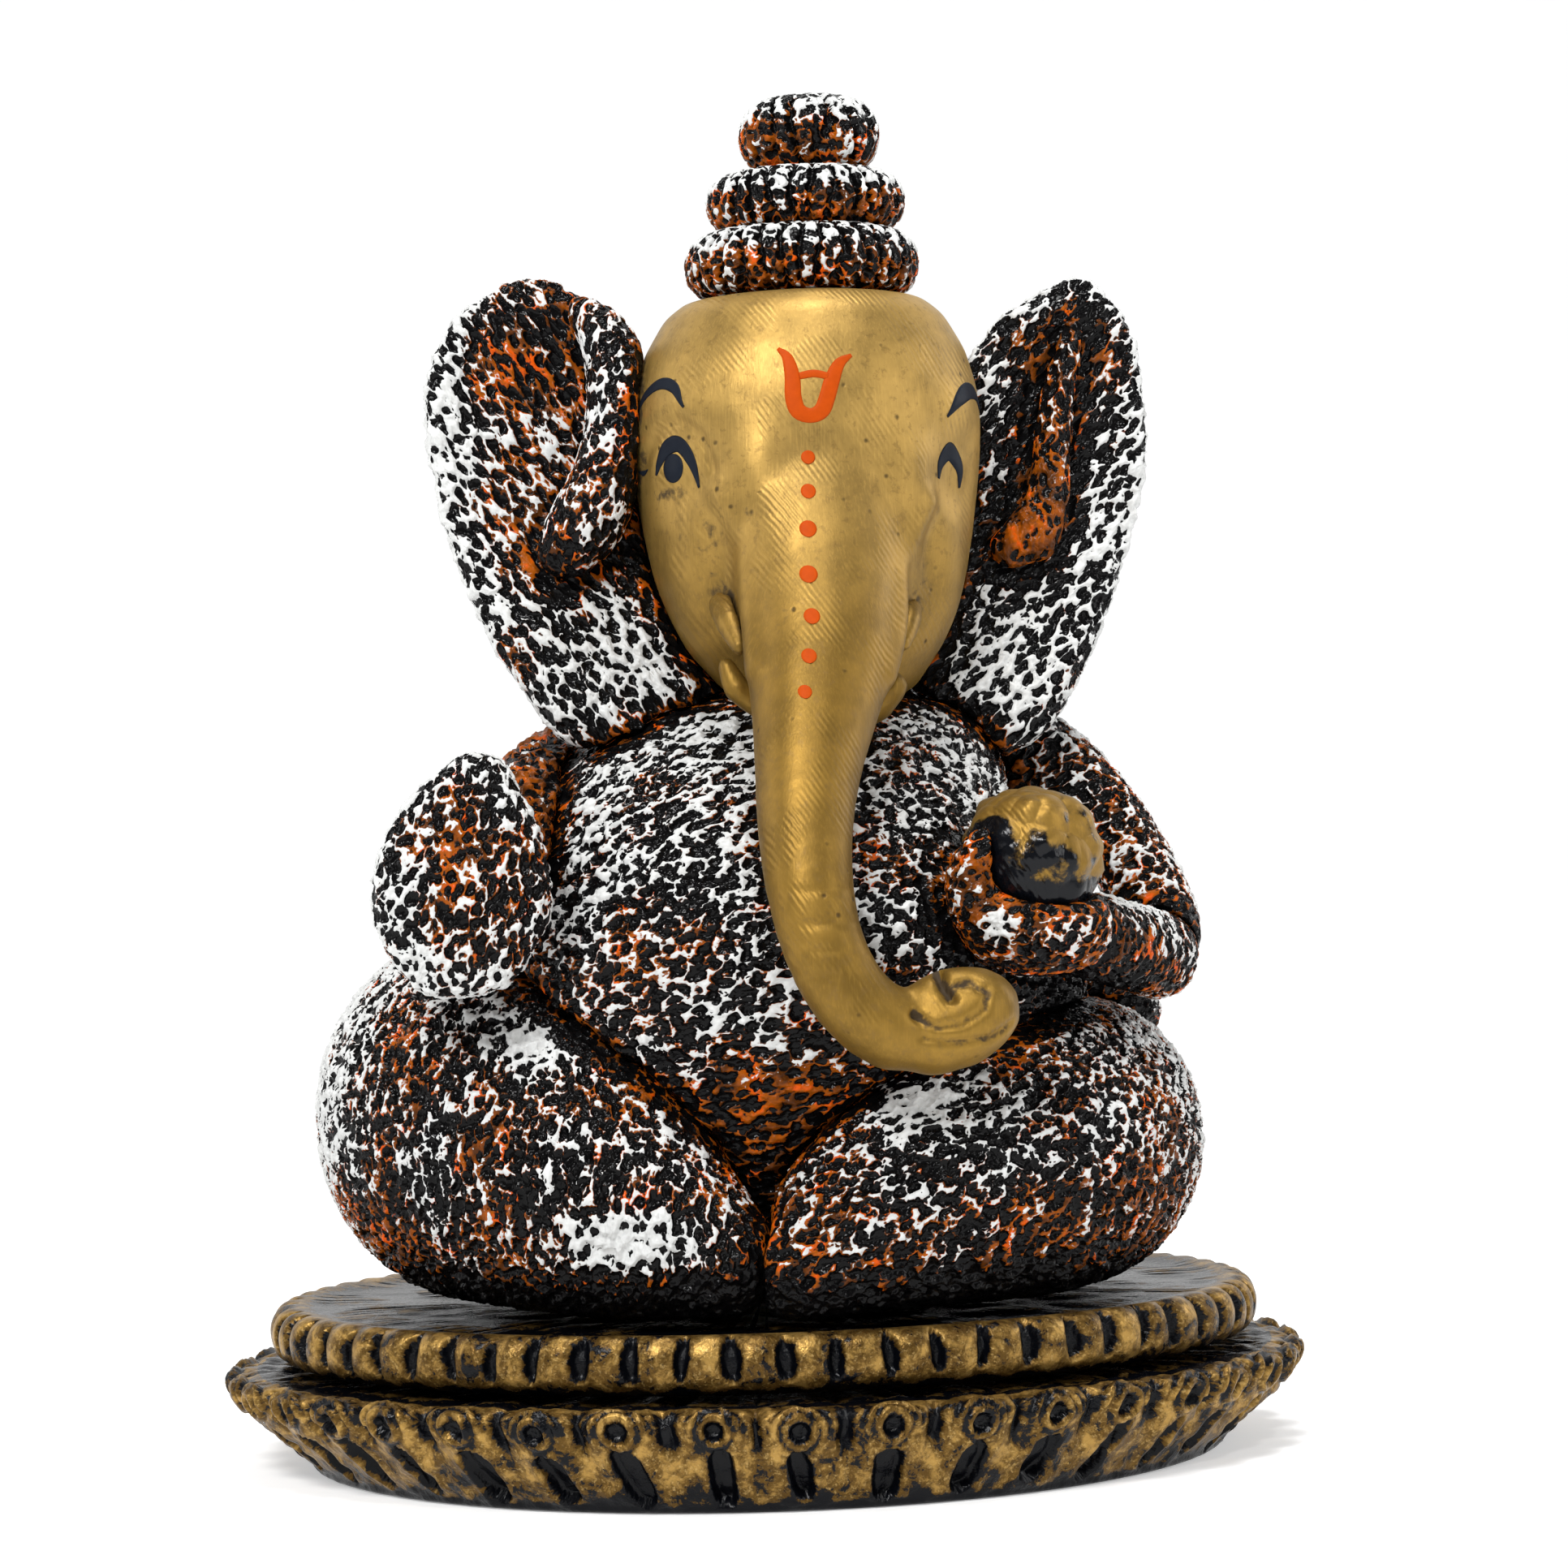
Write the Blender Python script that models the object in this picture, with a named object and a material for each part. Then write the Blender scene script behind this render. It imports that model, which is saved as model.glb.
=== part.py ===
"""Seated elephant-headed idol on a two-tier oval plinth, about 199 mm tall.

It is built from separate pieces that are luted together. Metres, +Z up, front towards -Y, origin at the
centre of the plinth's underside. "Right" and "left" in the names are the figure's own. Shapes are typed
in millimetres and scaled by MM when the meshes are made."""

import math

import bmesh
import bpy
import numpy as np

MM = 0.001
GAP = 0.3  # clearance between touching pieces

# plinth
LOWER_HALF = (80.0, 67.5)
LOWER_FOOT_HALF = (68.5, 63.5)
LOWER_TOP = 15.0
LOBES = 40
LOBE_COLUMNS = 6
UPPER_HALF = (73.5, 61.5)
UPPER_TOP = 24.0
NOTCHES = 64
NOTCH_COLUMNS = 4

# crown rolls: centre x, centre y, radius, bottom, top, ribs
CROWN_LOWER = (7.6, -13.0, 17.2, 170.0, 179.4, 30)
CROWN_MIDDLE = (8.4, -13.0, 14.6, 179.8, 188.0, 26)
CROWN_KNOB = (9.2, -13.0, 10.4, 188.4, 199.0, 14)
RIB_COLUMNS = 3
RIB_DEPTH = 0.7

SEAT = UPPER_TOP + GAP
BLOCK_WIDTH = 240.0  # wider than the whole figure
BLOCK_HEIGHT = 50.0
WELD = 0.004  # slivers thinner than this are closed after a Boolean

FINISHES = {
    "textured_paint": ((0.30, 0.14, 0.08), 0.55, 0.0),
    "gold_paint": ((0.52, 0.34, 0.11), 0.42, 0.55),
    "plinth_gold": ((0.34, 0.22, 0.07), 0.48, 0.45),
}


def clear_scene():
    for obj in list(bpy.data.objects):
        bpy.data.objects.remove(obj, do_unlink=True)


def new_material(name, finish):
    colour, roughness, metallic = FINISHES[finish]
    material = bpy.data.materials.new(name)
    material.use_nodes = True
    shader = material.node_tree.nodes["Principled BSDF"]
    shader.inputs["Base Color"].default_value = (*colour, 1.0)
    shader.inputs["Roughness"].default_value = roughness
    shader.inputs["Metallic"].default_value = metallic
    return material


def curve_through(rows, count):
    """Catmull-Rom curve through the rows, sampled evenly along its chord length."""
    rows = np.array(rows, dtype=float)
    padded = np.vstack([2 * rows[0] - rows[1], rows, 2 * rows[-1] - rows[-2]])
    steps = np.linalg.norm(np.diff(rows[:, :3], axis=0), axis=1)
    reach = np.concatenate([[0.0], np.cumsum(steps)])
    out = []
    for target in np.linspace(0.0, reach[-1], count):
        index = min(int(np.searchsorted(reach, target, side="right")) - 1, len(rows) - 2)
        t = (target - reach[index]) / (reach[index + 1] - reach[index])
        a, b, c, d = padded[index : index + 4]
        slope, bend, twist = c - a, 2 * a - 5 * b + 4 * c - d, 3 * b - a - 3 * c + d
        out.append(b + 0.5 * (slope * t + bend * t**2 + twist * t**3))
    return np.array(out)


def mesh_from_rings(name, rings, finish):
    """Closed body skinned over equal rings of points, each end closed on the mean of its last ring."""
    rings = [np.asarray(ring, dtype=float) for ring in rings]
    around = len(rings[0])
    first_middle, last_middle = rings[0].mean(axis=0), rings[-1].mean(axis=0)
    points = np.vstack([first_middle, *rings, last_middle])
    last = len(points) - 1
    faces = []
    for k in range(around):
        n = (k + 1) % around
        faces.append((0, 1 + n, 1 + k))
        for j in range(len(rings) - 1):
            low, high = 1 + j * around, 1 + (j + 1) * around
            faces.append((low + k, low + n, high + n, high + k))
        end = 1 + (len(rings) - 1) * around
        faces.append((last, end + k, end + n))
    mesh = bpy.data.meshes.new(name)
    mesh.from_pydata([tuple(p * MM) for p in points], [], faces)
    obj = bpy.data.objects.new(name, mesh)
    bpy.context.collection.objects.link(obj)
    obj.data.materials.append(new_material(name + "_" + finish, finish))
    work = bmesh.new()
    work.from_mesh(mesh)
    bmesh.ops.recalc_face_normals(work, faces=work.faces)
    if work.calc_volume(signed=True) < 0:
        bmesh.ops.reverse_faces(work, faces=work.faces)
    work.to_mesh(mesh)
    work.free()
    mesh.shade_smooth()
    return obj


def tube(name, stations, finish, around=22, along=16, side=(1.0, 0.0, 0.0), cap=3, blunt=0.9):
    """Round-ended roll along (x, y, z, half width, half depth); the half width lies along `side`."""
    path = curve_through(stations, along)
    side = np.array(side, dtype=float)
    tangents = np.gradient(path[:, :3], axis=0)
    tangents /= np.linalg.norm(tangents, axis=1, keepdims=True)
    angles = 2 * math.pi * np.arange(around) / around

    def ring(centre, tangent, width, depth):
        u = side - side.dot(tangent) * tangent
        u /= np.linalg.norm(u)
        v = np.cross(tangent, u)
        return centre + width * np.outer(np.cos(angles), u) + depth * np.outer(np.sin(angles), v)

    def end_rings(row, tangent, outward):
        """Rings of one rounded end, from the widest to the last."""
        rounded = []
        for step in range(1, cap + 1):
            tilt = 0.5 * math.pi * step / (cap + 0.35)
            reach = outward * blunt * min(row[3:]) * math.sin(tilt)
            rounded.append(ring(row[:3] + reach * tangent, tangent, *(row[3:] * math.cos(tilt))))
        return rounded

    middle = [ring(row[:3], tangent, row[3], row[4]) for row, tangent in zip(path, tangents)]
    start = end_rings(path[0], tangents[0], -1.0)[::-1]
    finish_end = end_rings(path[-1], tangents[-1], 1.0)
    return mesh_from_rings(name, start + middle + finish_end, finish)


def stack(name, rows, finish, around, along):
    """Body of level oval sections (z, centre x, centre y, half width, half depth)."""
    angles = 2 * math.pi * np.arange(around) / around
    keyed = [(0.0, 0.0, row[0], *row[1:]) for row in rows]
    rings = []
    for _, _, z, cx, cy, rx, ry in curve_through(keyed, along):
        x = cx + rx * np.cos(angles)
        y = cy + ry * np.sin(angles)
        rings.append(np.column_stack([x, y, np.full(around, z)]))
    return mesh_from_rings(name, rings, finish)


def wing(name, rows, finish, around=26, along=13):
    """Upright cupped slab (z, inner x, outer x, middle y, thickness, cup).

    Its inner and outer edges come forward by the cup."""
    angles = 2 * math.pi * np.arange(around) / around
    keyed = [(0.0, 0.0, row[0], *row[1:]) for row in rows]
    rings = []
    for _, _, z, inner, outer, middle, thick, cup in curve_through(keyed, along):
        across = np.cos(angles)
        x = 0.5 * (inner + outer) + 0.5 * (outer - inner) * across
        y = middle + 0.5 * thick * np.sign(np.sin(angles)) * np.abs(np.sin(angles)) ** 0.7 - cup * across**2
        rings.append(np.column_stack([x, y, np.full(around, z)]))
    return mesh_from_rings(name, rings, finish)


def oval_ring(half, scale, z, bites):
    """One level ring of the plinth; bites holds the inward depth of every column."""
    count = len(bites)
    angles = 2 * math.pi * np.arange(count) / count
    length = np.hypot(half[0] * np.cos(angles), half[1] * np.sin(angles))
    shrink = scale - bites / length
    x = half[0] * shrink * np.cos(angles)
    y = half[1] * shrink * np.sin(angles)
    return np.column_stack([x, y, np.full(count, z)])


def lower_tier():
    """Lobed drum: a V between lobes, one slanted slot under each lobe, and a stamped eye on each shoulder.

    The slots lean outwards on both sides of the front and stand upright at its middle."""
    count = LOBES * LOBE_COLUMNS
    middle = LOBE_COLUMNS // 2
    column = np.arange(count) % LOBE_COLUMNS
    angles = 2 * math.pi * np.arange(count) / count
    valley = np.where(column == 0, 1.0, 0.0)
    eye = np.where(column == middle, 1.0, 0.0)
    lean = np.where(np.sin(angles) * np.cos(angles) < 0.0, 1, -1)
    lean = np.where(np.abs(np.cos(angles)) < 0.1, 0, lean)
    slot_low = np.where(column == middle + lean, 1.0, 0.0)
    slot_mid = np.where(column == middle, 1.0, 0.0)
    slot_high = np.where(column == middle - lean, 1.0, 0.0)
    plain = np.zeros(count)
    shoulder = 12.4

    def half(z):
        t = min(z / shoulder, 1.0)
        return tuple(foot + (full - foot) * t for foot, full in zip(LOWER_FOOT_HALF, LOWER_HALF))

    rings = [
        oval_ring(half(0.0), 0.985, 0.0, plain),
        oval_ring(half(1.2), 1.0, 1.2, 0.5 * valley),
        oval_ring(half(2.6), 1.0, 2.6, 0.8 * valley + 1.8 * slot_low),
        oval_ring(half(5.0), 1.0, 5.0, 1.1 * valley + 2.2 * slot_mid),
        oval_ring(half(7.4), 1.0, 7.4, 1.3 * valley + 1.8 * slot_high),
        oval_ring(half(9.4), 1.0, 9.4, 1.5 * valley),
        oval_ring(half(shoulder), 1.0, shoulder, 1.7 * valley + 1.5 * eye),
        oval_ring(LOWER_HALF, 0.988, 14.2, 1.2 * valley),
        oval_ring(LOWER_HALF, 0.940, LOWER_TOP, plain),
    ]
    return mesh_from_rings("base_lower_tier", rings, "plinth_gold")


def upper_tier():
    """Oval slab with a beaded rim: one lens-shaped notch between every two beads."""
    count = NOTCHES * NOTCH_COLUMNS
    notch = np.where(np.arange(count) % NOTCH_COLUMNS == 0, 1.0, 0.0)
    plain = np.zeros(count)
    half = UPPER_HALF
    bottom = LOWER_TOP + GAP
    rings = [
        oval_ring(half, 0.930, bottom, plain),
        oval_ring(half, 0.975, bottom + 1.4, 0.2 * notch),
        oval_ring(half, 1.000, bottom + 3.4, 1.5 * notch),
        oval_ring(half, 1.000, bottom + 5.6, 1.8 * notch),
        oval_ring(half, 0.985, bottom + 7.4, 1.4 * notch),
        oval_ring(half, 0.955, UPPER_TOP, 0.2 * notch),
        oval_ring(half, 0.915, UPPER_TOP - 0.5, plain),
    ]
    return mesh_from_rings("base_upper_tier", rings, "plinth_gold")


def crown_roll(name, spec, fullness):
    """Ribbed roll of the crown: grooves run up and over it."""
    cx, cy, radius, low, high, ribs = spec
    count = ribs * RIB_COLUMNS
    angles = 2 * math.pi * np.arange(count) / count
    groove = np.where(np.arange(count) % RIB_COLUMNS == 0, 1.0, 0.0)
    rings = []
    for tilt in np.linspace(-0.5 * math.pi, 0.5 * math.pi, 7):
        level = 0.5 * (low + high) + 0.5 * (high - low) * math.sin(tilt)
        bulge = radius - fullness * (1 - math.cos(tilt))
        reach = bulge - RIB_DEPTH * groove * math.cos(tilt)
        x = cx + reach * np.cos(angles)
        y = cy + reach * np.sin(angles)
        rings.append(np.column_stack([x, y, np.full(count, level)]))
    return mesh_from_rings(name, rings, "textured_paint")


def grown_copy(obj):
    """Hidden cutter: the piece pushed out along its normals by the clearance."""
    cutter = bpy.data.objects.new(obj.name + "_clearance", obj.data.copy())
    bpy.context.collection.objects.link(cutter)
    work = bmesh.new()
    work.from_mesh(cutter.data)
    bmesh.ops.recalc_face_normals(work, faces=work.faces)
    work.normal_update()
    for vert in work.verts:
        vert.co += vert.normal * GAP * MM * vert.calc_shell_factor()
    work.to_mesh(cutter.data)
    work.free()
    cutter.hide_render = True
    cutter.display_type = "WIRE"
    return cutter


def level_block(name, low, high):
    """Hidden cutter that levels a piece between two heights."""
    mesh = bpy.data.meshes.new(name)
    work = bmesh.new()
    bmesh.ops.create_cube(work, size=1.0)
    size = (BLOCK_WIDTH * MM, BLOCK_WIDTH * MM, (high - low) * MM)
    bmesh.ops.scale(work, vec=size, verts=work.verts)
    bmesh.ops.translate(work, vec=(0.0, 0.0, 0.5 * (low + high) * MM), verts=work.verts)
    work.to_mesh(mesh)
    work.free()
    block = bpy.data.objects.new(name, mesh)
    bpy.context.collection.objects.link(block)
    block.hide_render = True
    block.display_type = "WIRE"
    return block


def bodies_of(work):
    """Faces of each separate body of a mesh, the largest body first."""
    left = set(work.faces)
    bodies = []
    while left:
        seed = left.pop()
        body, front = {seed}, [seed]
        while front:
            face = front.pop()
            near = {other for edge in face.edges for other in edge.link_faces} & left
            left -= near
            body |= near
            front.extend(near)
        bodies.append(body)
    bodies.sort(key=lambda body: sum(face.calc_area() for face in body), reverse=True)
    return bodies


def boolean(piece, other, operation):
    """Apply one exact Boolean, weld its slivers and keep the largest body."""
    modifier = piece.modifiers.new(operation.lower() + "_" + other.name, "BOOLEAN")
    modifier.operation = operation
    modifier.solver = "EXACT"
    modifier.object = other
    graph = bpy.context.evaluated_depsgraph_get()
    mesh = bpy.data.meshes.new_from_object(piece.evaluated_get(graph))
    piece.modifiers.clear()
    piece.data = mesh
    work = bmesh.new()
    work.from_mesh(mesh)
    bmesh.ops.triangulate(work, faces=work.faces)
    bmesh.ops.remove_doubles(work, verts=work.verts, dist=WELD * MM)
    bmesh.ops.dissolve_degenerate(work, edges=work.edges, dist=WELD * MM)
    bmesh.ops.dissolve_limit(work, angle_limit=0.03, verts=work.verts, edges=work.edges)
    bmesh.ops.triangulate(work, faces=work.faces)
    for body in bodies_of(work)[1:]:
        bmesh.ops.delete(work, geom=list(body), context="FACES")
    loose = [vert for vert in work.verts if not vert.link_faces]
    bmesh.ops.delete(work, geom=loose, context="VERTS")
    bmesh.ops.recalc_face_normals(work, faces=work.faces)
    work.to_mesh(mesh)
    work.free()
    mesh.shade_smooth()


def build_pieces():
    skin, gold = "textured_paint", "gold_paint"
    parts = {}

    def add(obj):
        parts[obj.name] = obj

    add(lower_tier())
    add(upper_tier())
    add(stack("torso", [
        (20.0, -1.0, 8.0, 43.0, 36.0),
        (35.0, -1.0, 5.0, 49.0, 42.0),
        (50.0, 0.0, 0.0, 50.0, 46.0),
        (65.0, 1.0, -4.5, 49.0, 46.5),
        (80.0, 0.0, -7.0, 42.0, 45.0),
        (92.0, 0.0, -6.5, 37.0, 40.0),
        (102.0, 3.0, -4.0, 34.0, 32.5),
        (110.0, 6.0, -1.0, 28.0, 24.0),
        (115.0, 7.0, 0.0, 18.0, 16.0),
        (116.5, 7.0, 0.0, 7.0, 6.0),
    ], skin, around=34, along=14))
    add(tube("right_leg", [
        (-36.0, 28.0, 46.0, 20.0, 17.0),
        (-43.0, 11.0, 50.5, 25.5, 21.5),
        (-41.0, -13.0, 50.5, 26.0, 24.0),
        (-31.5, -30.0, 44.5, 21.5, 20.5),
        (-21.0, -41.0, 37.0, 14.5, 14.5),
        (-12.5, -46.5, 32.5, 8.5, 8.5),
    ], skin, around=24, along=14, side=(0.0, 0.0, 1.0)))
    add(tube("left_leg", [
        (36.0, 27.0, 43.0, 18.0, 16.0),
        (43.5, 10.0, 45.0, 20.5, 19.5),
        (44.5, -11.0, 45.3, 21.0, 20.0),
        (35.0, -29.0, 44.5, 20.5, 19.5),
        (18.0, -41.5, 41.5, 17.5, 16.0),
        (4.0, -48.5, 36.0, 12.5, 11.5),
        (-3.5, -51.0, 31.5, 8.0, 8.0),
    ], skin, around=24, along=15, side=(0.0, 0.0, 1.0)))
    add(tube("right_arm", [
        (-25.0, 1.0, 101.5, 8.5, 8.5),
        (-32.0, -8.0, 98.0, 8.0, 8.0),
        (-38.5, -21.0, 92.5, 7.4, 7.4),
        (-43.5, -34.0, 87.0, 7.0, 7.0),
    ], skin, around=16, along=8, cap=2))
    add(tube("right_palm", [
        (-44.6, -43.5, 101.5, 4.6, 3.4),
        (-46.0, -43.7, 96.0, 9.4, 4.2),
        (-47.6, -44.2, 87.0, 12.5, 4.8),
        (-48.0, -44.8, 79.5, 11.9, 4.6),
        (-47.6, -45.2, 73.4, 8.0, 3.8),
    ], skin, around=24, along=9, cap=3, blunt=0.8))
    add(tube("left_upper_arm", [
        (35.0, 0.0, 105.0, 8.5, 8.5),
        (45.5, -3.0, 99.5, 7.2, 7.2),
        (53.0, -8.0, 90.5, 6.2, 6.2),
        (57.3, -13.5, 80.5, 6.1, 6.1),
        (57.6, -17.5, 73.3, 6.6, 6.6),
    ], skin, around=16, along=10, side=(0.0, 1.0, 0.0), cap=2))
    add(tube("left_forearm", [
        (57.0, -19.5, 72.0, 6.5, 6.2),
        (50.0, -30.5, 73.8, 6.3, 6.0),
        (41.5, -39.0, 76.0, 6.2, 6.2),
        (35.0, -44.0, 77.5, 6.2, 6.0),
    ], skin, around=16, along=7, side=(0.0, 0.0, 1.0), cap=2))
    add(tube("left_hand", [
        (39.5, -45.5, 78.0, 6.4, 7.5),
        (32.0, -46.5, 77.8, 7.2, 9.5),
        (26.0, -46.0, 79.0, 6.4, 8.5),
        (23.5, -45.5, 80.2, 4.8, 6.5),
    ], skin, around=18, along=7, side=(0.0, 0.0, 1.0), cap=2, blunt=0.5))
    add(tube("left_hip", [
        (28.0, 4.0, 58.0, 14.0, 14.0),
        (43.0, 5.0, 60.5, 13.0, 13.0),
        (55.0, 4.0, 62.5, 9.0, 9.5),
    ], skin, around=18, along=7, side=(0.0, 1.0, 0.0), cap=2))
    add(tube("left_fingers", [
        (26.0, -50.0, 76.5, 3.8, 3.8),
        (22.6, -50.0, 81.5, 3.7, 3.8),
        (23.0, -50.4, 87.0, 3.3, 3.5),
        (25.2, -51.0, 90.5, 2.2, 2.6),
    ], skin, around=12, along=7, side=(1.0, 0.0, 0.0), cap=2))
    add(tube("laddu", [
        (32.6, -45.5, 83.0, 8.6, 8.6),
        (32.6, -45.5, 88.0, 9.8, 9.8),
        (32.7, -45.5, 92.0, 8.7, 8.7),
    ], gold, around=20, along=5, cap=3, blunt=0.62))
    add(stack("head_core", [
        (101.0, 7.0, -2.0, 13.0, 13.0),
        (108.0, 7.0, -3.0, 16.5, 16.0),
        (120.0, 7.2, -4.0, 20.5, 19.0),
        (135.0, 7.3, -4.5, 23.3, 21.5),
        (150.0, 7.3, -5.0, 23.8, 22.5),
        (160.0, 7.4, -6.0, 22.6, 21.5),
        (166.0, 7.5, -8.5, 19.6, 19.2),
        (171.0, 7.6, -11.5, 15.0, 15.0),
    ], skin, around=26, along=11))
    add(stack("face_mask", [
        (107.5, 7.0, -21.0, 5.0, 4.0),
        (110.0, 7.5, -20.5, 11.5, 9.0),
        (117.5, 7.0, -18.5, 18.0, 15.5),
        (125.0, 7.0, -17.0, 21.5, 19.5),
        (132.0, 7.0, -16.0, 23.5, 22.0),
        (147.0, 7.2, -14.5, 25.6, 24.0),
        (157.0, 7.4, -14.0, 25.0, 23.6),
        (164.0, 7.5, -13.5, 22.4, 21.8),
        (169.0, 7.6, -13.0, 18.6, 18.6),
        (172.0, 7.6, -13.0, 14.0, 14.0),
    ], gold, around=32, along=13))
    add(tube("trunk", [
        (7.0, -22.0, 150.0, 12.0, 12.0),
        (6.2, -27.0, 139.0, 13.0, 13.0),
        (5.4, -32.0, 128.0, 12.8, 12.0),
        (4.3, -38.5, 118.0, 11.0, 10.5),
        (2.2, -44.5, 109.0, 9.0, 8.8),
        (0.0, -50.0, 100.0, 7.4, 7.4),
        (-1.4, -55.0, 91.0, 6.5, 6.5),
        (-1.3, -58.6, 82.0, 5.9, 5.9),
        (0.6, -60.5, 74.0, 5.6, 5.6),
        (4.6, -61.0, 67.6, 5.6, 5.6),
        (10.0, -61.2, 64.2, 5.8, 5.9),
        (16.0, -61.0, 64.2, 6.2, 6.2),
        (21.2, -60.8, 67.2, 6.0, 6.0),
    ], gold, around=18, along=28, side=(1.0, 0.25, 0.0), cap=2))
    add(tube("trunk_tip", [
        (22.4, -60.2, 67.4, 4.6, 4.8),
        (19.0, -60.8, 68.8, 4.4, 4.4),
        (14.6, -61.6, 68.2, 4.0, 4.2),
    ], gold, around=16, along=6, side=(0.0, 1.0, 0.0), cap=2))
    add(tube("right_tusk", [
        (-8.2, -30.5, 124.5, 2.1, 2.1),
        (-8.0, -35.0, 121.5, 1.9, 1.9),
        (-7.2, -38.8, 118.0, 1.2, 1.2),
    ], gold, around=10, along=5, cap=2))
    add(tube("left_tusk", [
        (18.4, -30.5, 124.5, 2.0, 2.0),
        (17.8, -35.0, 121.5, 1.8, 1.8),
        (16.0, -38.8, 118.0, 1.2, 1.2),
    ], gold, around=10, along=5, cap=2))
    add(tube("lower_lip", [
        (-8.4, -33.0, 115.8, 1.2, 1.3),
        (-7.2, -33.8, 112.4, 1.8, 1.9),
        (-1.0, -32.5, 108.8, 2.0, 2.0),
        (7.0, -31.5, 107.4, 2.1, 2.1),
        (12.6, -32.4, 108.9, 2.3, 2.3),
        (15.4, -33.4, 112.4, 2.2, 2.4),
    ], gold, around=12, along=9, side=(0.0, 1.0, 0.0), cap=2))
    add(wing("right_ear", [
        (101.0, -20.0, -22.0, -16.0, 5.0, 0.0),
        (104.0, -12.0, -29.0, -16.0, 9.0, 0.5),
        (110.0, -5.0, -33.5, -14.5, 11.0, 1.0),
        (120.0, -6.0, -39.8, -11.0, 10.5, 2.0),
        (130.0, -8.0, -44.0, -8.0, 9.0, 3.0),
        (140.0, -10.0, -46.8, -5.5, 8.0, 4.0),
        (150.0, -12.0, -48.4, -4.0, 7.5, 4.5),
        (160.0, -15.0, -48.0, -3.5, 7.0, 4.5),
        (168.0, -19.5, -44.3, -4.0, 6.5, 3.5),
        (173.5, -25.0, -38.0, -4.5, 5.0, 1.5),
        (175.0, -29.0, -34.0, -4.5, 2.0, 0.0),
    ], skin))
    add(wing("left_ear", [
        (99.5, 30.0, 32.0, -14.0, 5.0, 0.0),
        (103.0, 24.0, 40.0, -14.0, 9.0, 0.5),
        (110.0, 17.0, 45.8, -12.5, 11.0, 1.0),
        (120.0, 20.0, 51.4, -10.0, 10.0, 2.0),
        (130.0, 23.0, 55.8, -7.0, 8.8, 3.0),
        (140.0, 25.0, 59.2, -5.0, 8.0, 4.0),
        (150.0, 28.0, 61.0, -3.5, 7.5, 4.5),
        (160.0, 32.0, 60.6, -3.0, 7.0, 4.0),
        (168.0, 38.5, 58.0, -3.5, 6.5, 3.0),
        (173.0, 46.0, 55.0, -4.0, 5.0, 1.5),
        (174.4, 49.5, 52.5, -4.0, 2.0, 0.0),
    ], skin))
    add(tube("right_ear_fold", [
        (-25.0, -9.5, 169.0, 2.4, 2.8),
        (-21.0, -13.0, 163.5, 4.2, 4.6),
        (-20.2, -15.0, 154.0, 4.8, 5.2),
        (-22.0, -15.5, 145.0, 5.0, 5.2),
        (-25.5, -15.5, 137.5, 5.6, 5.2),
        (-28.8, -13.5, 133.0, 4.4, 4.4),
    ], skin, around=14, along=10, cap=2))
    add(tube("left_ear_fold", [
        (49.5, -8.0, 166.0, 1.8, 2.0),
        (46.5, -8.8, 156.0, 2.6, 3.0),
        (45.0, -9.5, 146.0, 3.0, 3.4),
        (43.6, -10.5, 138.5, 3.8, 3.8),
        (41.0, -11.5, 134.0, 4.6, 4.2),
        (37.6, -11.5, 132.5, 3.6, 3.6),
    ], skin, around=14, along=10, cap=2))
    add(crown_roll("crown_lower_roll", CROWN_LOWER, 4.2))
    add(crown_roll("crown_middle_roll", CROWN_MIDDLE, 3.6))
    add(crown_roll("crown_top_knob", CROWN_KNOB, 4.6))
    return parts


# the first piece of each row is cut back by the clearance around the pieces that follow it
GIVES_WAY = (
    ("torso", ("right_leg", "left_leg", "laddu")),
    ("left_leg", ("right_leg",)),
    ("right_arm", ("torso", "right_palm")),
    ("right_palm", ("right_leg",)),
    ("left_upper_arm", ("torso", "left_forearm")),
    ("left_forearm", ("left_hand", "laddu", "left_leg", "torso")),
    ("left_hand", ("laddu", "torso")),
    ("head_core", ("torso",)),
    ("face_mask", ("head_core", "torso")),
    ("right_ear", ("head_core", "face_mask", "torso", "right_arm")),
    ("left_ear", ("head_core", "face_mask", "torso", "left_upper_arm")),
    ("right_ear_fold", ("right_ear", "head_core", "face_mask")),
    ("left_ear_fold", ("left_ear", "head_core", "face_mask")),
    ("right_tusk", ("face_mask",)),
    ("left_tusk", ("face_mask",)),
    ("lower_lip", ("face_mask", "torso", "head_core", "right_tusk", "left_tusk")),
)
# the second shape of each row is modelled in one with the first
JOINED = (
    ("face_mask", "trunk"),
    ("face_mask", "trunk_tip"),
    ("torso", "left_hip"),
    ("left_hand", "left_fingers"),
)
RESTS_ON_PLINTH = ("torso", "right_leg", "left_leg")
UNDER_CROWN = ("head_core", "face_mask")


def main():
    clear_scene()
    parts = build_pieces()
    for body, name in JOINED:
        limb = parts.pop(name)
        boolean(parts[body], limb, "UNION")
        bpy.data.objects.remove(limb, do_unlink=True)
    wanted = sorted({other for _, others in GIVES_WAY for other in others})
    cutters = {name: grown_copy(parts[name]) for name in wanted}
    under_figure = level_block("under_figure", SEAT - BLOCK_HEIGHT, SEAT)
    crown_foot = CROWN_LOWER[3] - GAP
    over_head = level_block("over_head", crown_foot, crown_foot + BLOCK_HEIGHT)
    for name, others in GIVES_WAY:
        for other in others:
            boolean(parts[name], cutters[other], "DIFFERENCE")
    for name in RESTS_ON_PLINTH:
        boolean(parts[name], under_figure, "DIFFERENCE")
    for name in UNDER_CROWN:
        boolean(parts[name], over_head, "DIFFERENCE")


main()
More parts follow.
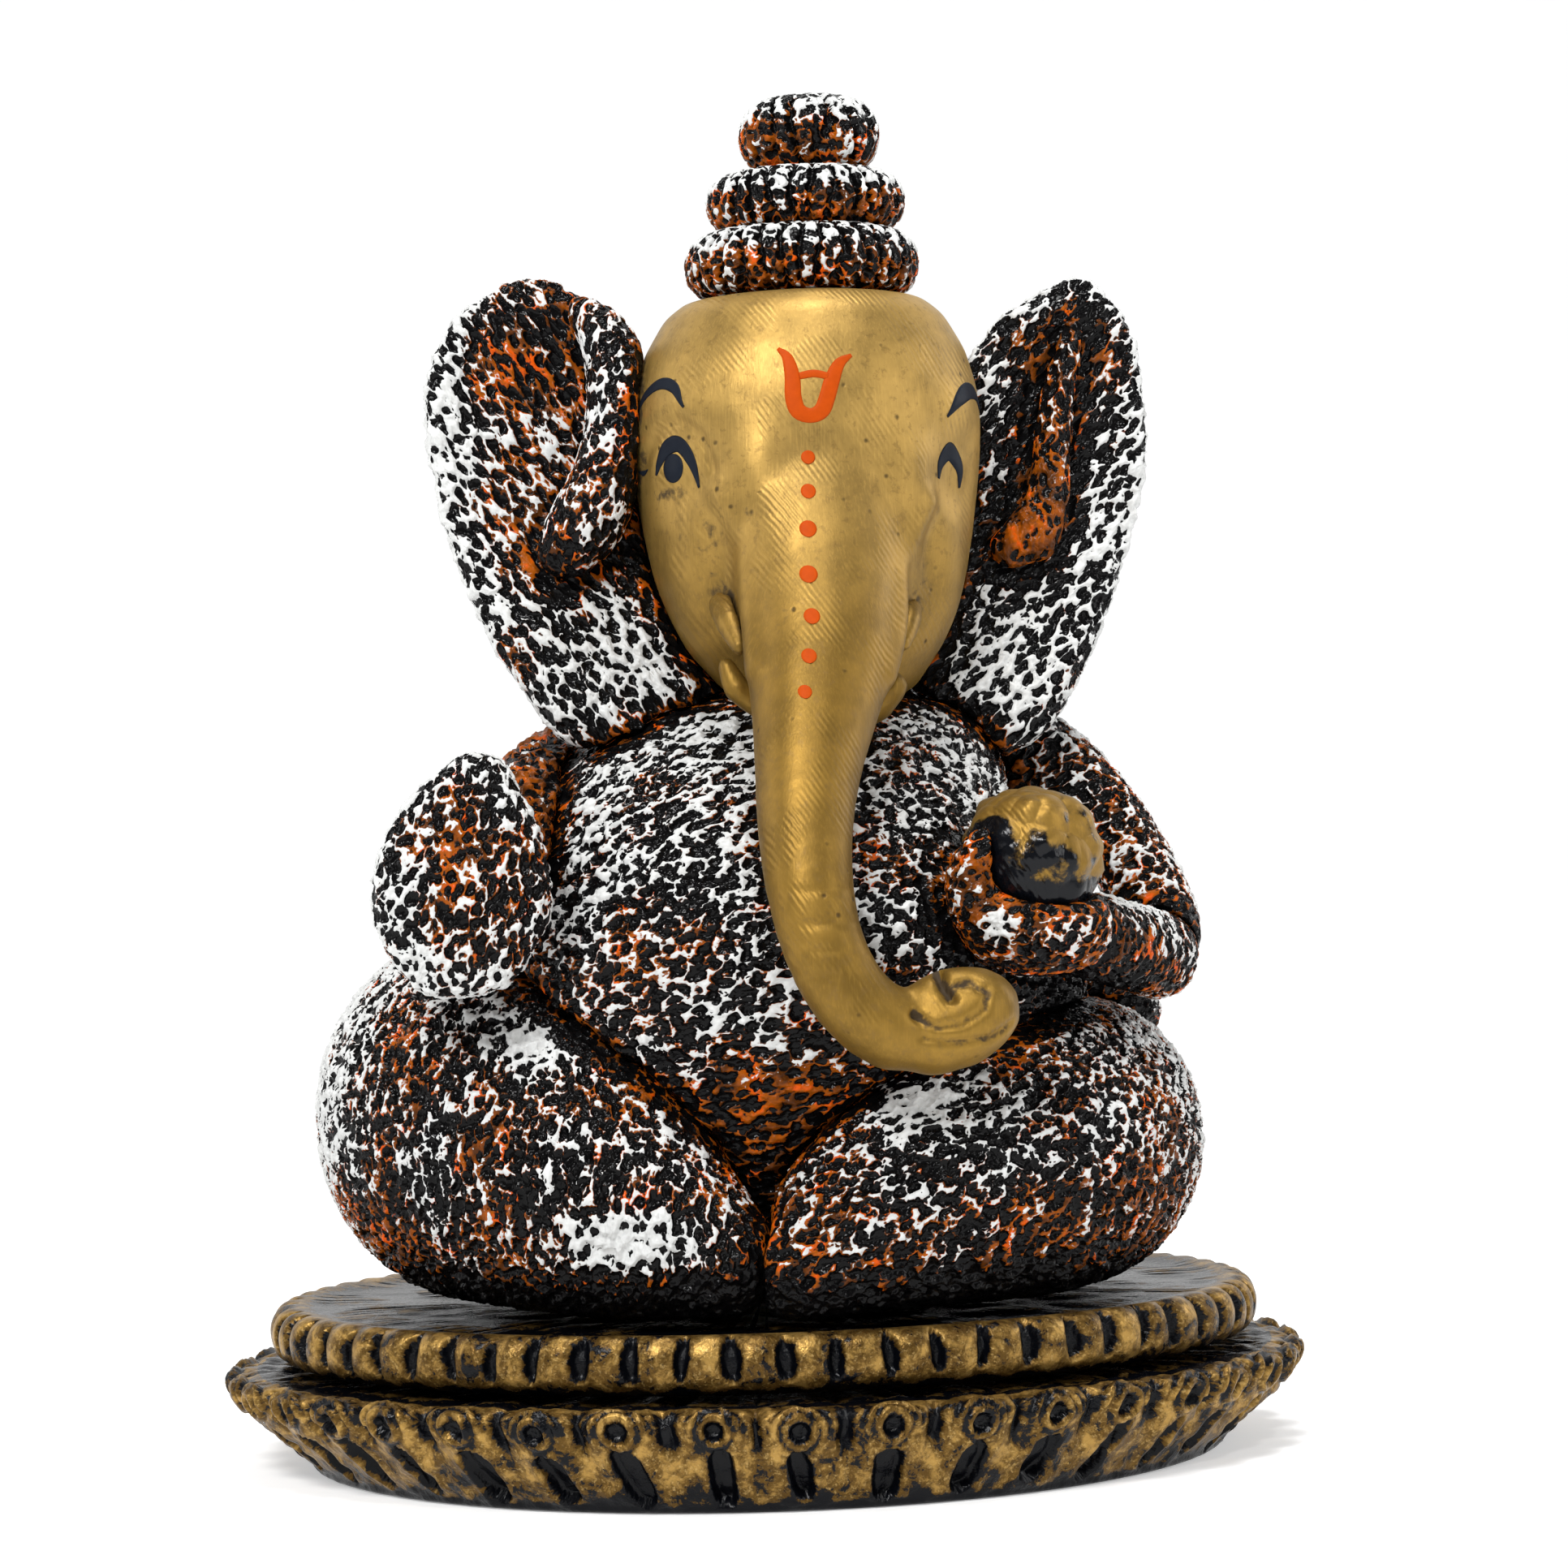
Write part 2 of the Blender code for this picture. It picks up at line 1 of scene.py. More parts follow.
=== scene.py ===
"""Looks of the seated elephant-headed idol: pitted painted clay, gilt face and trunk, carved gilt plinth.

Lengths inside the script are millimetres unless a name says otherwise. The frame is in metres, with +Z up and
the front towards -Y. "Right" and "left" are the figure's own."""

import math

import bmesh
import bpy
import numpy as np
from mathutils import Matrix, Vector
from mathutils.bvhtree import BVHTree
from mathutils.noise import noise as hash_noise
from mathutils.noise import voronoi


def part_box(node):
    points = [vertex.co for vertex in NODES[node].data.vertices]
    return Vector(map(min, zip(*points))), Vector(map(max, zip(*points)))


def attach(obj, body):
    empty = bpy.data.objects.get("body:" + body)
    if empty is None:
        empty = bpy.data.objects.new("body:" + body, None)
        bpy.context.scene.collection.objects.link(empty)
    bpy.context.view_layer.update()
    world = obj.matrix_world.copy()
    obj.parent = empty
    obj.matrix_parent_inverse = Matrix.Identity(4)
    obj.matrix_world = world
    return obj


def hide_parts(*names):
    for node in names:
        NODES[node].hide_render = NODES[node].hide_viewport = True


MM = 0.001
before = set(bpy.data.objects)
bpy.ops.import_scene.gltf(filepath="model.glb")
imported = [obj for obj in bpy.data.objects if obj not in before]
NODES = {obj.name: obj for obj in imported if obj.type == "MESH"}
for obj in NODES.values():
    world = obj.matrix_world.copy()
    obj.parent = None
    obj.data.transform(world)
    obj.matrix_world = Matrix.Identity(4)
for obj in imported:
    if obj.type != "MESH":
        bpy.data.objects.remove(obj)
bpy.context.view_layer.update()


# ---------------------------------------------------------------- node trees
def put(tree, kind, inputs=None, **settings):
    """Add a node, set its properties, then set or link its inputs."""
    new = tree.nodes.new(kind)
    for key, value in settings.items():
        setattr(new, key, value)
    for key, value in (inputs or {}).items():
        if isinstance(value, bpy.types.NodeSocket):
            tree.links.new(value, new.inputs[key])
        else:
            new.inputs[key].default_value = value
    return new


def calc(tree, operation, a, b):
    return put(tree, "ShaderNodeMath", {0: a, 1: b}, operation=operation).outputs[0]


def step(tree, value, low, high, start=0.0, end=1.0):
    """Smooth step from start at low to end at high."""
    ramp = put(
        tree,
        "ShaderNodeMapRange",
        {"Value": value, "From Min": low, "From Max": high, "To Min": start, "To Max": end},
        interpolation_type="SMOOTHSTEP",
    )
    return ramp.outputs[0]


def blend(tree, factor, a, b, mode="MIX"):
    """Mix two colours."""
    new = put(tree, "ShaderNodeMix", {0: factor, 6: a, 7: b}, data_type="RGBA", blend_type=mode)
    return new.outputs[2]


def noise(tree, vector, scale, detail=2.0, rough=0.5):
    return put(
        tree, "ShaderNodeTexNoise", {"Vector": vector, "Scale": scale, "Detail": detail, "Roughness": rough}
    ).outputs[0]


def cells(tree, vector, scale, randomness):
    """Distance to the nearest of scattered points."""
    return put(
        tree, "ShaderNodeTexVoronoi", {"Vector": vector, "Scale": scale, "Randomness": randomness}
    ).outputs[0]


def vector_math(tree, operation, a, b):
    return put(tree, "ShaderNodeVectorMath", {0: a, 1: b}, operation=operation).outputs[0]


def around_zero(tree, value, gain):
    """A noise value moved to swing about zero, times the gain."""
    return calc(tree, "MULTIPLY", calc(tree, "SUBTRACT", value, 0.5), gain)


def shifted(tree, vector, scale, strength):
    """The vector pushed about by a colour noise."""
    tex = put(tree, "ShaderNodeTexNoise", {"Vector": vector, "Scale": scale, "Detail": 2.0, "Roughness": 0.5})
    centred = vector_math(tree, "SUBTRACT", tex.outputs[1], (0.5, 0.5, 0.5))
    scaled = put(tree, "ShaderNodeVectorMath", {0: centred, "Scale": strength}, operation="SCALE").outputs[0]
    return vector_math(tree, "ADD", vector, scaled)


def relief_height(tree, grain):
    """Round pits between thick knotted ridges: low in the pits, near 1 on the ridge tops."""
    wormy = shifted(tree, grain, 0.55, 1.7)
    walls = step(tree, cells(tree, wormy, 0.76, 0.95), 0.25, 0.80)
    chips = step(tree, cells(tree, wormy, 1.32, 1.0), 0.10, 0.55, 0.45, 1.0)
    knots = around_zero(tree, noise(tree, grain, 1.1, 2.0, 0.6), 0.75)
    return calc(tree, "ADD", calc(tree, "MULTIPLY", walls, chips), knots)


def new_material(name):
    material = bpy.data.materials.new(name)
    material.use_nodes = True
    tree = material.node_tree
    shader = tree.nodes["Principled BSDF"]
    return material, tree, shader


def attribute(tree, name, output="Fac"):
    return put(tree, "ShaderNodeAttribute", attribute_name=name).outputs[output]


def bump(tree, shader, height, distance_mm, strength):
    inputs = {"Height": height, "Distance": distance_mm * MM, "Strength": strength}
    tree.links.new(put(tree, "ShaderNodeBump", inputs).outputs[0], shader.inputs["Normal"])


def clay_material():
    """Gloss black clay, burnt orange on the flanks of its ridges and dry-brushed off-white on their tops.

    The attributes white and orange on a mesh say how much of each paint it carries."""
    material, tree, shader = new_material("pitted_painted_clay")
    grain = attribute(tree, "grain", "Vector")
    white_bias = attribute(tree, "white")
    orange_bias = attribute(tree, "orange")
    height = relief_height(tree, grain)
    patches = noise(tree, grain, 0.06, 2.0)
    blots = noise(tree, grain, 0.24, 3.0, 0.6)
    drift = noise(tree, shifted(tree, grain, 0.1, 9.0), 0.10, 2.0)
    cover = calc(tree, "ADD", around_zero(tree, patches, 1.5), around_zero(tree, blots, 1.2))
    cover = calc(tree, "ADD", cover, white_bias)
    white = step(tree, calc(tree, "ADD", height, calc(tree, "MULTIPLY", cover, 0.7)), 0.835, 0.945)
    warm = calc(tree, "ADD", around_zero(tree, drift, 2.2), orange_bias)
    flank = step(tree, calc(tree, "ADD", height, calc(tree, "MULTIPLY", warm, 0.5)), 0.54, 0.72)
    hue = noise(tree, grain, 0.33, 3.0, 0.6)
    orange = blend(tree, step(tree, hue, 0.38, 0.6), (0.070, 0.020, 0.003, 1), (0.31, 0.070, 0.003, 1))
    orange = blend(tree, step(tree, hue, 0.56, 0.68), orange, (0.60, 0.078, 0.003, 1))
    black = blend(tree, noise(tree, grain, 0.8), (0.0006, 0.0007, 0.001, 1), (0.005, 0.0045, 0.0045, 1))
    chalk = blend(tree, noise(tree, grain, 1.3, 2.0), (0.42, 0.42, 0.41, 1), (0.74, 0.75, 0.74, 1))
    colour = blend(tree, flank, black, orange)
    colour = blend(tree, white, colour, chalk)
    tree.links.new(colour, shader.inputs["Base Color"])
    gloss = calc(tree, "ADD", calc(tree, "MULTIPLY", white, 0.26), calc(tree, "MULTIPLY", flank, 0.12))
    tree.links.new(calc(tree, "ADD", gloss, 0.11), shader.inputs["Roughness"])
    shader.inputs["Specular IOR Level"].default_value = 0.10
    fine = calc(tree, "ADD", height, calc(tree, "MULTIPLY", noise(tree, grain, 4.0, 2.0), 0.10))
    bump(tree, shader, fine, 0.5, 0.55)
    return material


def gold_material(name, shade, soot_and_shade_amount, soot_and_shade_colour, soot_and_shade_rough):
    """Satin antique gold paint: brushed, smudged and finely pitted, with painted shade that makes it darker
    and browner lower down.

    A mesh attribute gives the soot and the painted shade at each point; the last argument is what that dark
    cover adds to the roughness."""
    material, tree, shader = new_material(name)
    spot = attribute(tree, "grain", "Vector")
    soot_and_shade = attribute(tree, "soot_and_shade")
    cloud = noise(tree, spot, 0.11, 4.0, 0.6)
    smear = noise(tree, shifted(tree, spot, 0.25, 3.0), 0.5, 3.0, 0.65)
    stretched = vector_math(tree, "MULTIPLY", spot, (1.0, 1.0, 0.07))
    strokes = noise(tree, stretched, 3.4, 3.0, 0.6)
    dark = tuple(c * 0.62 for c in shade)
    light = tuple(min(1.0, c * 1.22) for c in shade)
    colour = blend(tree, step(tree, cloud, 0.30, 0.70), (*dark, 1), (*shade, 1))
    colour = blend(tree, step(tree, strokes, 0.45, 0.75, 0.0, 0.4), colour, (*light, 1))
    # painted shade: below about 150 mm the gold is multiplied darker and browner, as if lit from above
    level = put(tree, "ShaderNodeSeparateXYZ", {0: spot}).outputs[2]
    shaded_low = blend(tree, 1.0, colour, (0.60, 0.55, 0.36, 1), "MULTIPLY")
    colour = blend(tree, step(tree, level, 110.0, 152.0, 1.0, 0.0), colour, shaded_low)
    fleck = step(tree, noise(tree, shifted(tree, spot, 0.9, 1.0), 0.75, 4.0, 0.7), 0.53, 0.68, 0.0, 0.5)
    colour = blend(tree, fleck, colour, (0.17, 0.10, 0.028, 1))
    # soot smudges from the noise, plus the soot and painted shade carried by the mesh attribute
    soot_and_shade_cover = calc(tree, "ADD", around_zero(tree, smear, 1.5), soot_and_shade)
    soot_and_shade_cover = step(tree, soot_and_shade_cover, 0.34, 0.80, 0.0, soot_and_shade_amount)
    colour = blend(tree, soot_and_shade_cover, colour, (*soot_and_shade_colour, 1))
    gate = step(tree, noise(tree, spot, 0.13, 1.0), 0.50, 0.56)
    hole = calc(tree, "MULTIPLY", step(tree, cells(tree, spot, 0.30, 1.0), 0.04, 0.16, 1.0, 0.0), gate)
    colour = blend(tree, calc(tree, "MULTIPLY", hole, 0.8), colour, (0.03, 0.018, 0.008, 1))
    tree.links.new(colour, shader.inputs["Base Color"])
    metal = calc(tree, "SUBTRACT", 0.62, calc(tree, "MULTIPLY", soot_and_shade_cover, 0.55))
    tree.links.new(metal, shader.inputs["Metallic"])
    shader.inputs["Specular IOR Level"].default_value = 0.2
    rough = calc(tree, "ADD", calc(tree, "MULTIPLY", smear, 0.20), 0.36)
    rough = calc(tree, "ADD", rough, calc(tree, "MULTIPLY", soot_and_shade_cover, soot_and_shade_rough))
    tree.links.new(rough, shader.inputs["Roughness"])
    tall = calc(tree, "ADD", calc(tree, "MULTIPLY", strokes, 0.35), calc(tree, "MULTIPLY", smear, 0.5))
    tall = calc(tree, "SUBTRACT", tall, hole)
    slanted = put(tree, "ShaderNodeMapping", {"Vector": spot, "Rotation": (0.0, 0.55, 0.0)}).outputs[0]
    hatch = put(tree, "ShaderNodeTexWave", {"Vector": slanted, "Scale": 0.42, "Distortion": 1.5}).outputs[1]
    brushed = step(tree, noise(tree, spot, 0.09, 1.0), 0.50, 0.60)
    tall = calc(tree, "ADD", tall, calc(tree, "MULTIPLY", calc(tree, "MULTIPLY", hatch, brushed), 0.5))
    bump(tree, shader, tall, 0.14, 0.65)
    return material


def plinth_material():
    """Black-painted clay with old gold rubbed over its high parts; an attribute marks what stays black: the
    carved hollows, and painted shade low on each tier and under the upper tier.
    """
    material, tree, shader = new_material("rubbed_gold_plinth")
    spot = attribute(tree, "grain", "Vector")
    carve = attribute(tree, "carve")
    worn = noise(tree, shifted(tree, spot, 0.3, 2.5), 0.36, 5.0, 0.68)
    cloud = noise(tree, spot, 0.10, 3.0, 0.6)
    grit = noise(tree, spot, 1.9, 3.0, 0.6)
    miss = calc(tree, "ADD", carve, around_zero(tree, worn, 2.6))
    miss = calc(tree, "ADD", miss, around_zero(tree, cloud, 0.9))
    miss = calc(tree, "ADD", miss, around_zero(tree, grit, 0.5))
    black = step(tree, miss, 0.16, 0.34)
    gold = blend(tree, step(tree, miss, -0.45, 0.12), (0.36, 0.215, 0.056, 1), (0.09, 0.048, 0.010, 1))
    gold = blend(tree, step(tree, grit, 0.52, 0.72, 0.0, 0.5), gold, (0.60, 0.40, 0.14, 1))
    colour = blend(tree, black, gold, (0.0015, 0.0018, 0.003, 1))
    tree.links.new(colour, shader.inputs["Base Color"])
    shader.inputs["Specular IOR Level"].default_value = 0.15
    shine = calc(tree, "SUBTRACT", 0.62, calc(tree, "MULTIPLY", black, 0.62))
    tree.links.new(shine, shader.inputs["Metallic"])
    rough = calc(tree, "ADD", calc(tree, "MULTIPLY", grit, 0.2), 0.25)
    rough = calc(tree, "SUBTRACT", rough, calc(tree, "MULTIPLY", black, 0.14))
    tree.links.new(rough, shader.inputs["Roughness"])
    tall = calc(tree, "ADD", calc(tree, "MULTIPLY", worn, 0.8), calc(tree, "MULTIPLY", grit, 0.45))
    bump(tree, shader, tall, 0.35, 0.7)
    return material


def paint_material(name, colour, rough):
    material, tree, shader = new_material(name)
    spot = put(tree, "ShaderNodeTexCoord").outputs["Object"]
    cloud = noise(tree, spot, 900.0, 3.0, 0.6)
    darker = tuple(c * 0.72 for c in colour)
    tree.links.new(blend(tree, cloud, (*darker, 1), (*colour, 1)), shader.inputs["Base Color"])
    shader.inputs["Roughness"].default_value = rough
    shader.inputs["Specular IOR Level"].default_value = 0.06
    bump(tree, shader, cloud, 0.05, 0.4)
    return material


# ---------------------------------------------------------------- meshes
def link(name, mesh):
    obj = bpy.data.objects.new(name, mesh)
    bpy.context.scene.collection.objects.link(obj)
    return obj


def applied(obj):
    """Replace the object's mesh with its evaluated one."""
    graph = bpy.context.evaluated_depsgraph_get()
    mesh = bpy.data.meshes.new_from_object(obj.evaluated_get(graph))
    obj.modifiers.clear()
    old = obj.data
    obj.data = mesh
    bpy.data.meshes.remove(old)


def coordinates(mesh):
    out = np.empty(len(mesh.vertices) * 3, np.float32)
    mesh.vertices.foreach_get("co", out)
    return out.reshape(-1, 3).astype(float) / MM


def place(mesh, points):
    mesh.vertices.foreach_set("co", (points * MM).astype(np.float32).ravel())
    mesh.update()


def normals(mesh):
    out = np.empty(len(mesh.vertices) * 3, np.float32)
    mesh.vertex_normals.foreach_get("vector", out)
    return out.reshape(-1, 3).astype(float)


def keep(mesh, name, values):
    kind = "FLOAT_VECTOR" if values.ndim == 2 else "FLOAT"
    layer = mesh.attributes.get(name) or mesh.attributes.new(name, kind, "POINT")
    layer.data.foreach_set("vector" if values.ndim == 2 else "value", values.astype(np.float32).ravel())


def kept(mesh, name):
    out = np.empty(len(mesh.vertices), np.float32)
    mesh.attributes[name].data.foreach_get("value", out)
    return out.astype(float)


def soft_step(values, low, high):
    t = np.clip((values - low) / (high - low), 0.0, 1.0)
    return t * t * (3.0 - 2.0 * t)


def bell(points, centre, reach):
    """1 at the centre, fading to nothing past the reach, which may differ by axis."""
    gap = (points - np.array(centre, float)) / np.array(reach, float)
    return np.exp(-2.0 * (gap**2).sum(axis=1))


def neighbours_tree(name):
    """Search tree over every other CAD node."""
    points, faces, start = [], [], 0
    for other, obj in NODES.items():
        if other == name:
            continue
        points += [v.co / MM for v in obj.data.vertices]
        faces += [[start + i for i in p.vertices] for p in obj.data.polygons]
        start = len(points)
    return BVHTree.FromPolygons(points, faces)


def remeshed(node, name, voxel, rounds):
    """Even, softened copy of a CAD node."""
    obj = link(name, NODES[node].data.copy())
    grid = obj.modifiers.new("grid", "REMESH")
    grid.mode = "VOXEL"
    grid.voxel_size = voxel * MM
    soften = obj.modifiers.new("soften", "SMOOTH")
    soften.factor = 0.5
    soften.iterations = rounds
    applied(obj)
    return obj


def refine(obj, levels):
    """Subdivide the mesh smoothly."""
    fine = obj.modifiers.new("fine", "SUBSURF")
    fine.levels = fine.render_levels = levels
    applied(obj)


def relief_modifier_tree():
    """Geometry nodes that raise the same relief that the clay material paints."""
    tree = bpy.data.node_groups.new("raise_relief", "GeometryNodeTree")
    tree.interface.new_socket("Geometry", in_out="INPUT", socket_type="NodeSocketGeometry")
    depth = tree.interface.new_socket("Depth", in_out="INPUT", socket_type="NodeSocketFloat")
    depth.default_value = 0.5
    tree.interface.new_socket("Geometry", in_out="OUTPUT", socket_type="NodeSocketGeometry")
    source = put(tree, "NodeGroupInput")
    stored = "GeometryNodeInputNamedAttribute"
    grain = put(tree, stored, {"Name": "grain"}, data_type="FLOAT_VECTOR").outputs[0]
    amount = put(tree, stored, {"Name": "depth"}, data_type="FLOAT").outputs[0]
    height = calc(tree, "SUBTRACT", relief_height(tree, grain), 0.45)
    height = calc(tree, "MULTIPLY", height, amount)
    height = calc(tree, "MULTIPLY", height, source.outputs[1])
    normal = put(tree, "GeometryNodeInputNormal").outputs[0]
    move = put(tree, "ShaderNodeVectorMath", {0: normal, "Scale": height}, operation="SCALE").outputs[0]
    done = put(tree, "GeometryNodeSetPosition", {"Geometry": source.outputs[0], "Offset": move})
    sink = put(tree, "NodeGroupOutput")
    tree.links.new(done.outputs[0], sink.inputs[0])
    return tree


RELIEF = relief_modifier_tree()
CLAY = clay_material()
PLINTH = plinth_material()
GOLD = gold_material("antique_gold_paint", (0.42, 0.262, 0.070), 0.9, (0.022, 0.015, 0.010), 0.2)
OLD_GOLD = gold_material("tarnished_gold_paint", (0.46, 0.29, 0.085), 1.0, (0.003, 0.0035, 0.005), -0.30)
RED_PAINT = paint_material("vermilion_paint", (0.47, 0.060, 0.002), 0.5)
SLATE_PAINT = paint_material("slate_black_paint", (0.010, 0.013, 0.020), 0.45)


# thickness of the paint on the clay and on the gilt pieces
CLAY_COAT = 0.10
GILT_COAT = 0.12
# heights between which the black foot of the figure fades out
FOOT_BAND = (27.5, 34.0)
# painted shadow in the hollow under the left forearm, where the white and orange paint is taken away
FOREARM_SHADOW_CENTRE = (40.0, -32.0, 69.5)
FOREARM_SHADOW_REACH = (18.0, 16.0, 6.5)


def raise_relief(obj, depth_mm):
    modifier = obj.modifiers.new("relief", "NODES")
    modifier.node_group = RELIEF
    socket = [item.identifier for item in RELIEF.interface.items_tree if item.name == "Depth"][0]
    modifier[socket] = depth_mm * MM
    applied(obj)


def grain_of(points, axis, stretch):
    """Positions squeezed along an axis, so that the relief runs long along it."""
    axis = np.array(axis, float)
    axis /= np.linalg.norm(axis)
    along = points @ axis
    return points - np.outer(along * (1.0 - 1.0 / stretch), axis)


def finish_piece(obj, material, slot, *nodes):
    obj.data.materials.clear()
    obj.data.materials.append(material)
    obj.data.shade_smooth()
    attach(obj, "root")
    if nodes:
        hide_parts(*nodes)
    return obj


def distance_to_others(node, mesh):
    """Distance in millimetres from each vertex to the nearest other CAD node."""
    tree = neighbours_tree(node)
    return np.array([tree.find_nearest(Vector(p))[3] for p in coordinates(mesh)])


def clay_piece(node, voxel, rounds, levels, axis, stretch, biases, depth=1.0):
    """Pitted clay look of one CAD node. biases(points, facing) returns the white and orange biases."""
    obj = remeshed(node, node + "_clay", voxel, rounds)
    keep(obj.data, "near", distance_to_others(node, obj.data))
    refine(obj, levels)
    mesh = obj.data
    facing = normals(mesh)
    points = coordinates(mesh) + facing * CLAY_COAT
    place(mesh, points)
    crease = 1.0 - soft_step(kept(mesh, "near"), 0.6, 4.5)
    white, orange = biases(points, facing)
    foot = 1.0 - soft_step(points[:, 2], *FOOT_BAND)
    # painted shadow: no white or orange paint in the hollow under the left forearm, only black
    forearm_shadow = np.minimum(1.3 * bell(points, FOREARM_SHADOW_CENTRE, FOREARM_SHADOW_REACH), 1.0)
    white -= 1.3 * foot + 1.6 * forearm_shadow
    orange -= 1.3 * foot + 1.2 * forearm_shadow
    keep(mesh, "grain", grain_of(points, axis, stretch))
    # painted shade at the joins: less white and orange paint close to the neighbouring parts
    keep(mesh, "white", white - 0.95 * crease)
    keep(mesh, "orange", orange - 0.45 * crease)
    keep(mesh, "depth", 1.0 - 0.6 * crease)
    raise_relief(obj, depth)
    return finish_piece(obj, CLAY, "pitted_paint", node)


def tone(white=0.0, orange=0.0, up=0.25, rim=0.0, spots=()):
    """Paint biases: base amounts, more white where it faces up or sideways, and local spots.

    A spot is (centre, reach, more white, more orange)."""

    def biases(points, facing):
        w = white + up * facing[:, 2] + rim * (1.0 - np.abs(facing[:, 1]) - 0.4)
        o = np.full(len(points), float(orange))
        for centre, reach, more_white, more_orange in spots:
            share = bell(points, centre, reach)
            w = w + more_white * share
            o = o + more_orange * share
        return w, o

    return biases


def build_clay():
    clay_piece("torso", 2.2, 6, 2, (1.0, 0.0, 0.25), 1.5, tone(
        0.22, 0.02, up=0.35, spots=(((-6.0, -45.0, 50.0), (18, 16, 12), -0.65, 0.30),)))
    clay_piece("right_leg", 2.0, 6, 2, (0.1, 0.0, 1.0), 1.35, tone(
        0.09, 0.0, up=0.2, spots=(
            ((-66.0, -10.0, 60.0), (14, 26, 20), 0.55, -0.1),
            ((-27.0, -46.0, 36.0), (10, 30, 5.5), 1.7, 0.0),
            ((-38.0, -36.0, 63.5), (5, 30, 3.6), 1.4, 0.0),
            ((-56.0, -30.0, 36.0), (14, 14, 6), -0.25, 0.1),
        )))
    clay_piece("left_leg", 2.0, 6, 2, (1.0, 0.0, 0.5), 1.35, tone(
        0.08, 0.0, up=0.2, spots=(
            ((60.0, -10.0, 52.0), (16, 24, 14), 0.3, 0.0),
            ((14.0, -52.0, 55.0), (7, 30, 3.5), 1.2, 0.0),
            ((-2.0, -52.0, 38.0), (12, 12, 14), -0.2, 0.5),
        )))
    clay_piece("right_arm", 1.4, 5, 1, (-0.5, -0.8, -0.3), 1.5, tone(-0.35, 0.45))
    clay_piece("right_palm", 1.2, 4, 2, (0.3, 0.0, 1.0), 1.3, tone(
        0.32, 0.24, up=0.1, rim=0.5, spots=(
            ((-57.0, -50.0, 80.0), (7, 8, 16), 0.5, 0.0),
            ((-50.0, -50.0, 72.0), (12, 8, 6), 0.45, 0.0),
        )), depth=0.6)
    clay_piece("left_upper_arm", 1.5, 5, 2, (0.8, -0.3, 0.5), 1.5, tone(
        0.15, 0.12, up=0.2, rim=0.3), depth=0.7)
    clay_piece("left_forearm", 1.5, 5, 2, (0.2, 0.2, 1.0), 1.5, tone(0.22, 0.1, rim=0.3), depth=0.7)
    clay_piece("left_hand", 1.3, 4, 2, (1.0, 0.0, 0.4), 1.3, tone(
        0.26, 0.18, spots=(
            ((22.0, -51.0, 84.0), (5.5, 8, 10), -0.45, 0.5),
            ((25.5, -52.0, 78.0), (3, 8, 4), 1.0, 0.0),
            ((34.0, -56.0, 76.0), (8, 8, 4), 0.3, 0.0),
        )), depth=0.6)
    clay_piece("head_core", 2.0, 6, 2, (0.0, 0.3, 1.0), 1.4, tone(0.0, 0.05))
    clay_piece("right_ear", 1.7, 5, 2, (-0.55, 0.0, 0.8), 1.7, tone(
        0.30, 0.08, up=0.1, rim=0.35, spots=(
            ((-46.0, -8.0, 150.0), (7, 14, 34), 0.45, 0.0),
            ((-20.0, -20.0, 115.0), (20, 14, 13), 0.55, -0.1),
            ((-33.0, -10.0, 160.0), (10, 10, 12), -0.35, 0.2),
            ((-34.0, -10.0, 141.0), (9, 10, 12), -0.1, 0.5),
        )), depth=0.7)
    clay_piece("left_ear", 1.7, 5, 2, (0.7, 0.0, 0.7), 1.7, tone(
        0.38, -0.22, up=0.1, rim=0.3, spots=(
            ((60.0, -8.0, 150.0), (6, 14, 30), 0.45, 0.0),
            ((36.0, -18.0, 115.0), (18, 14, 14), 0.3, 0.0),
            ((46.0, -8.0, 170.0), (9, 10, 7), 0.4, 0.0),
            ((45.0, -10.0, 155.0), (9, 10, 12), -0.3, 0.0),
        )), depth=0.7)
    clay_piece("right_ear_fold", 1.3, 4, 2, (0.1, 0.0, 1.0), 1.4, tone(
        0.25, 0.2, up=0.0, spots=(
            ((-28.0, -14.0, 131.5), (8, 8, 6), -1.2, -0.9),
            ((-18.0, -19.0, 153.0), (3, 8, 9), -0.5, 0.8),
        )), depth=0.45)
    clay_piece("left_ear_fold", 1.3, 4, 2, (0.1, 0.0, 1.0), 1.4, tone(
        0.0, 0.1, up=0.0, spots=(((40.0, -14.0, 135.0), (8, 8, 9), -0.5, 1.2),)), depth=0.45)


# ---------------------------------------------------------------- gilt pieces
def dab(points, facing, centre, reach, amount):
    """Push a soft bump out (or a dent in) along the surface."""
    return points + facing * (amount * bell(points, centre, reach))[:, None]


def ridge_along(points, facing, path, reach, amount, front_only=False):
    """Raise a soft ridge under a line of points; front_only measures its width as seen from the front."""
    path = np.array(path, float)
    shares = np.linspace(0, 1, 12, False)
    fine = np.vstack([a + (b - a) * t for a, b in zip(path, path[1:]) for t in shares])
    gap = points[:, None, :] - fine[None, :, :]
    if front_only:
        gap = gap[:, :, [0, 2]]
    gap = np.min(np.linalg.norm(gap, axis=2), axis=1)
    return points + facing * (amount * np.exp(-2.0 * (gap / reach) ** 2))[:, None]


HEAD_AXIS = (7.2, -8.0, 0.0)
EYES = ((-14.2, -27.0, 144.0), (27.4, -28.6, 143.2))
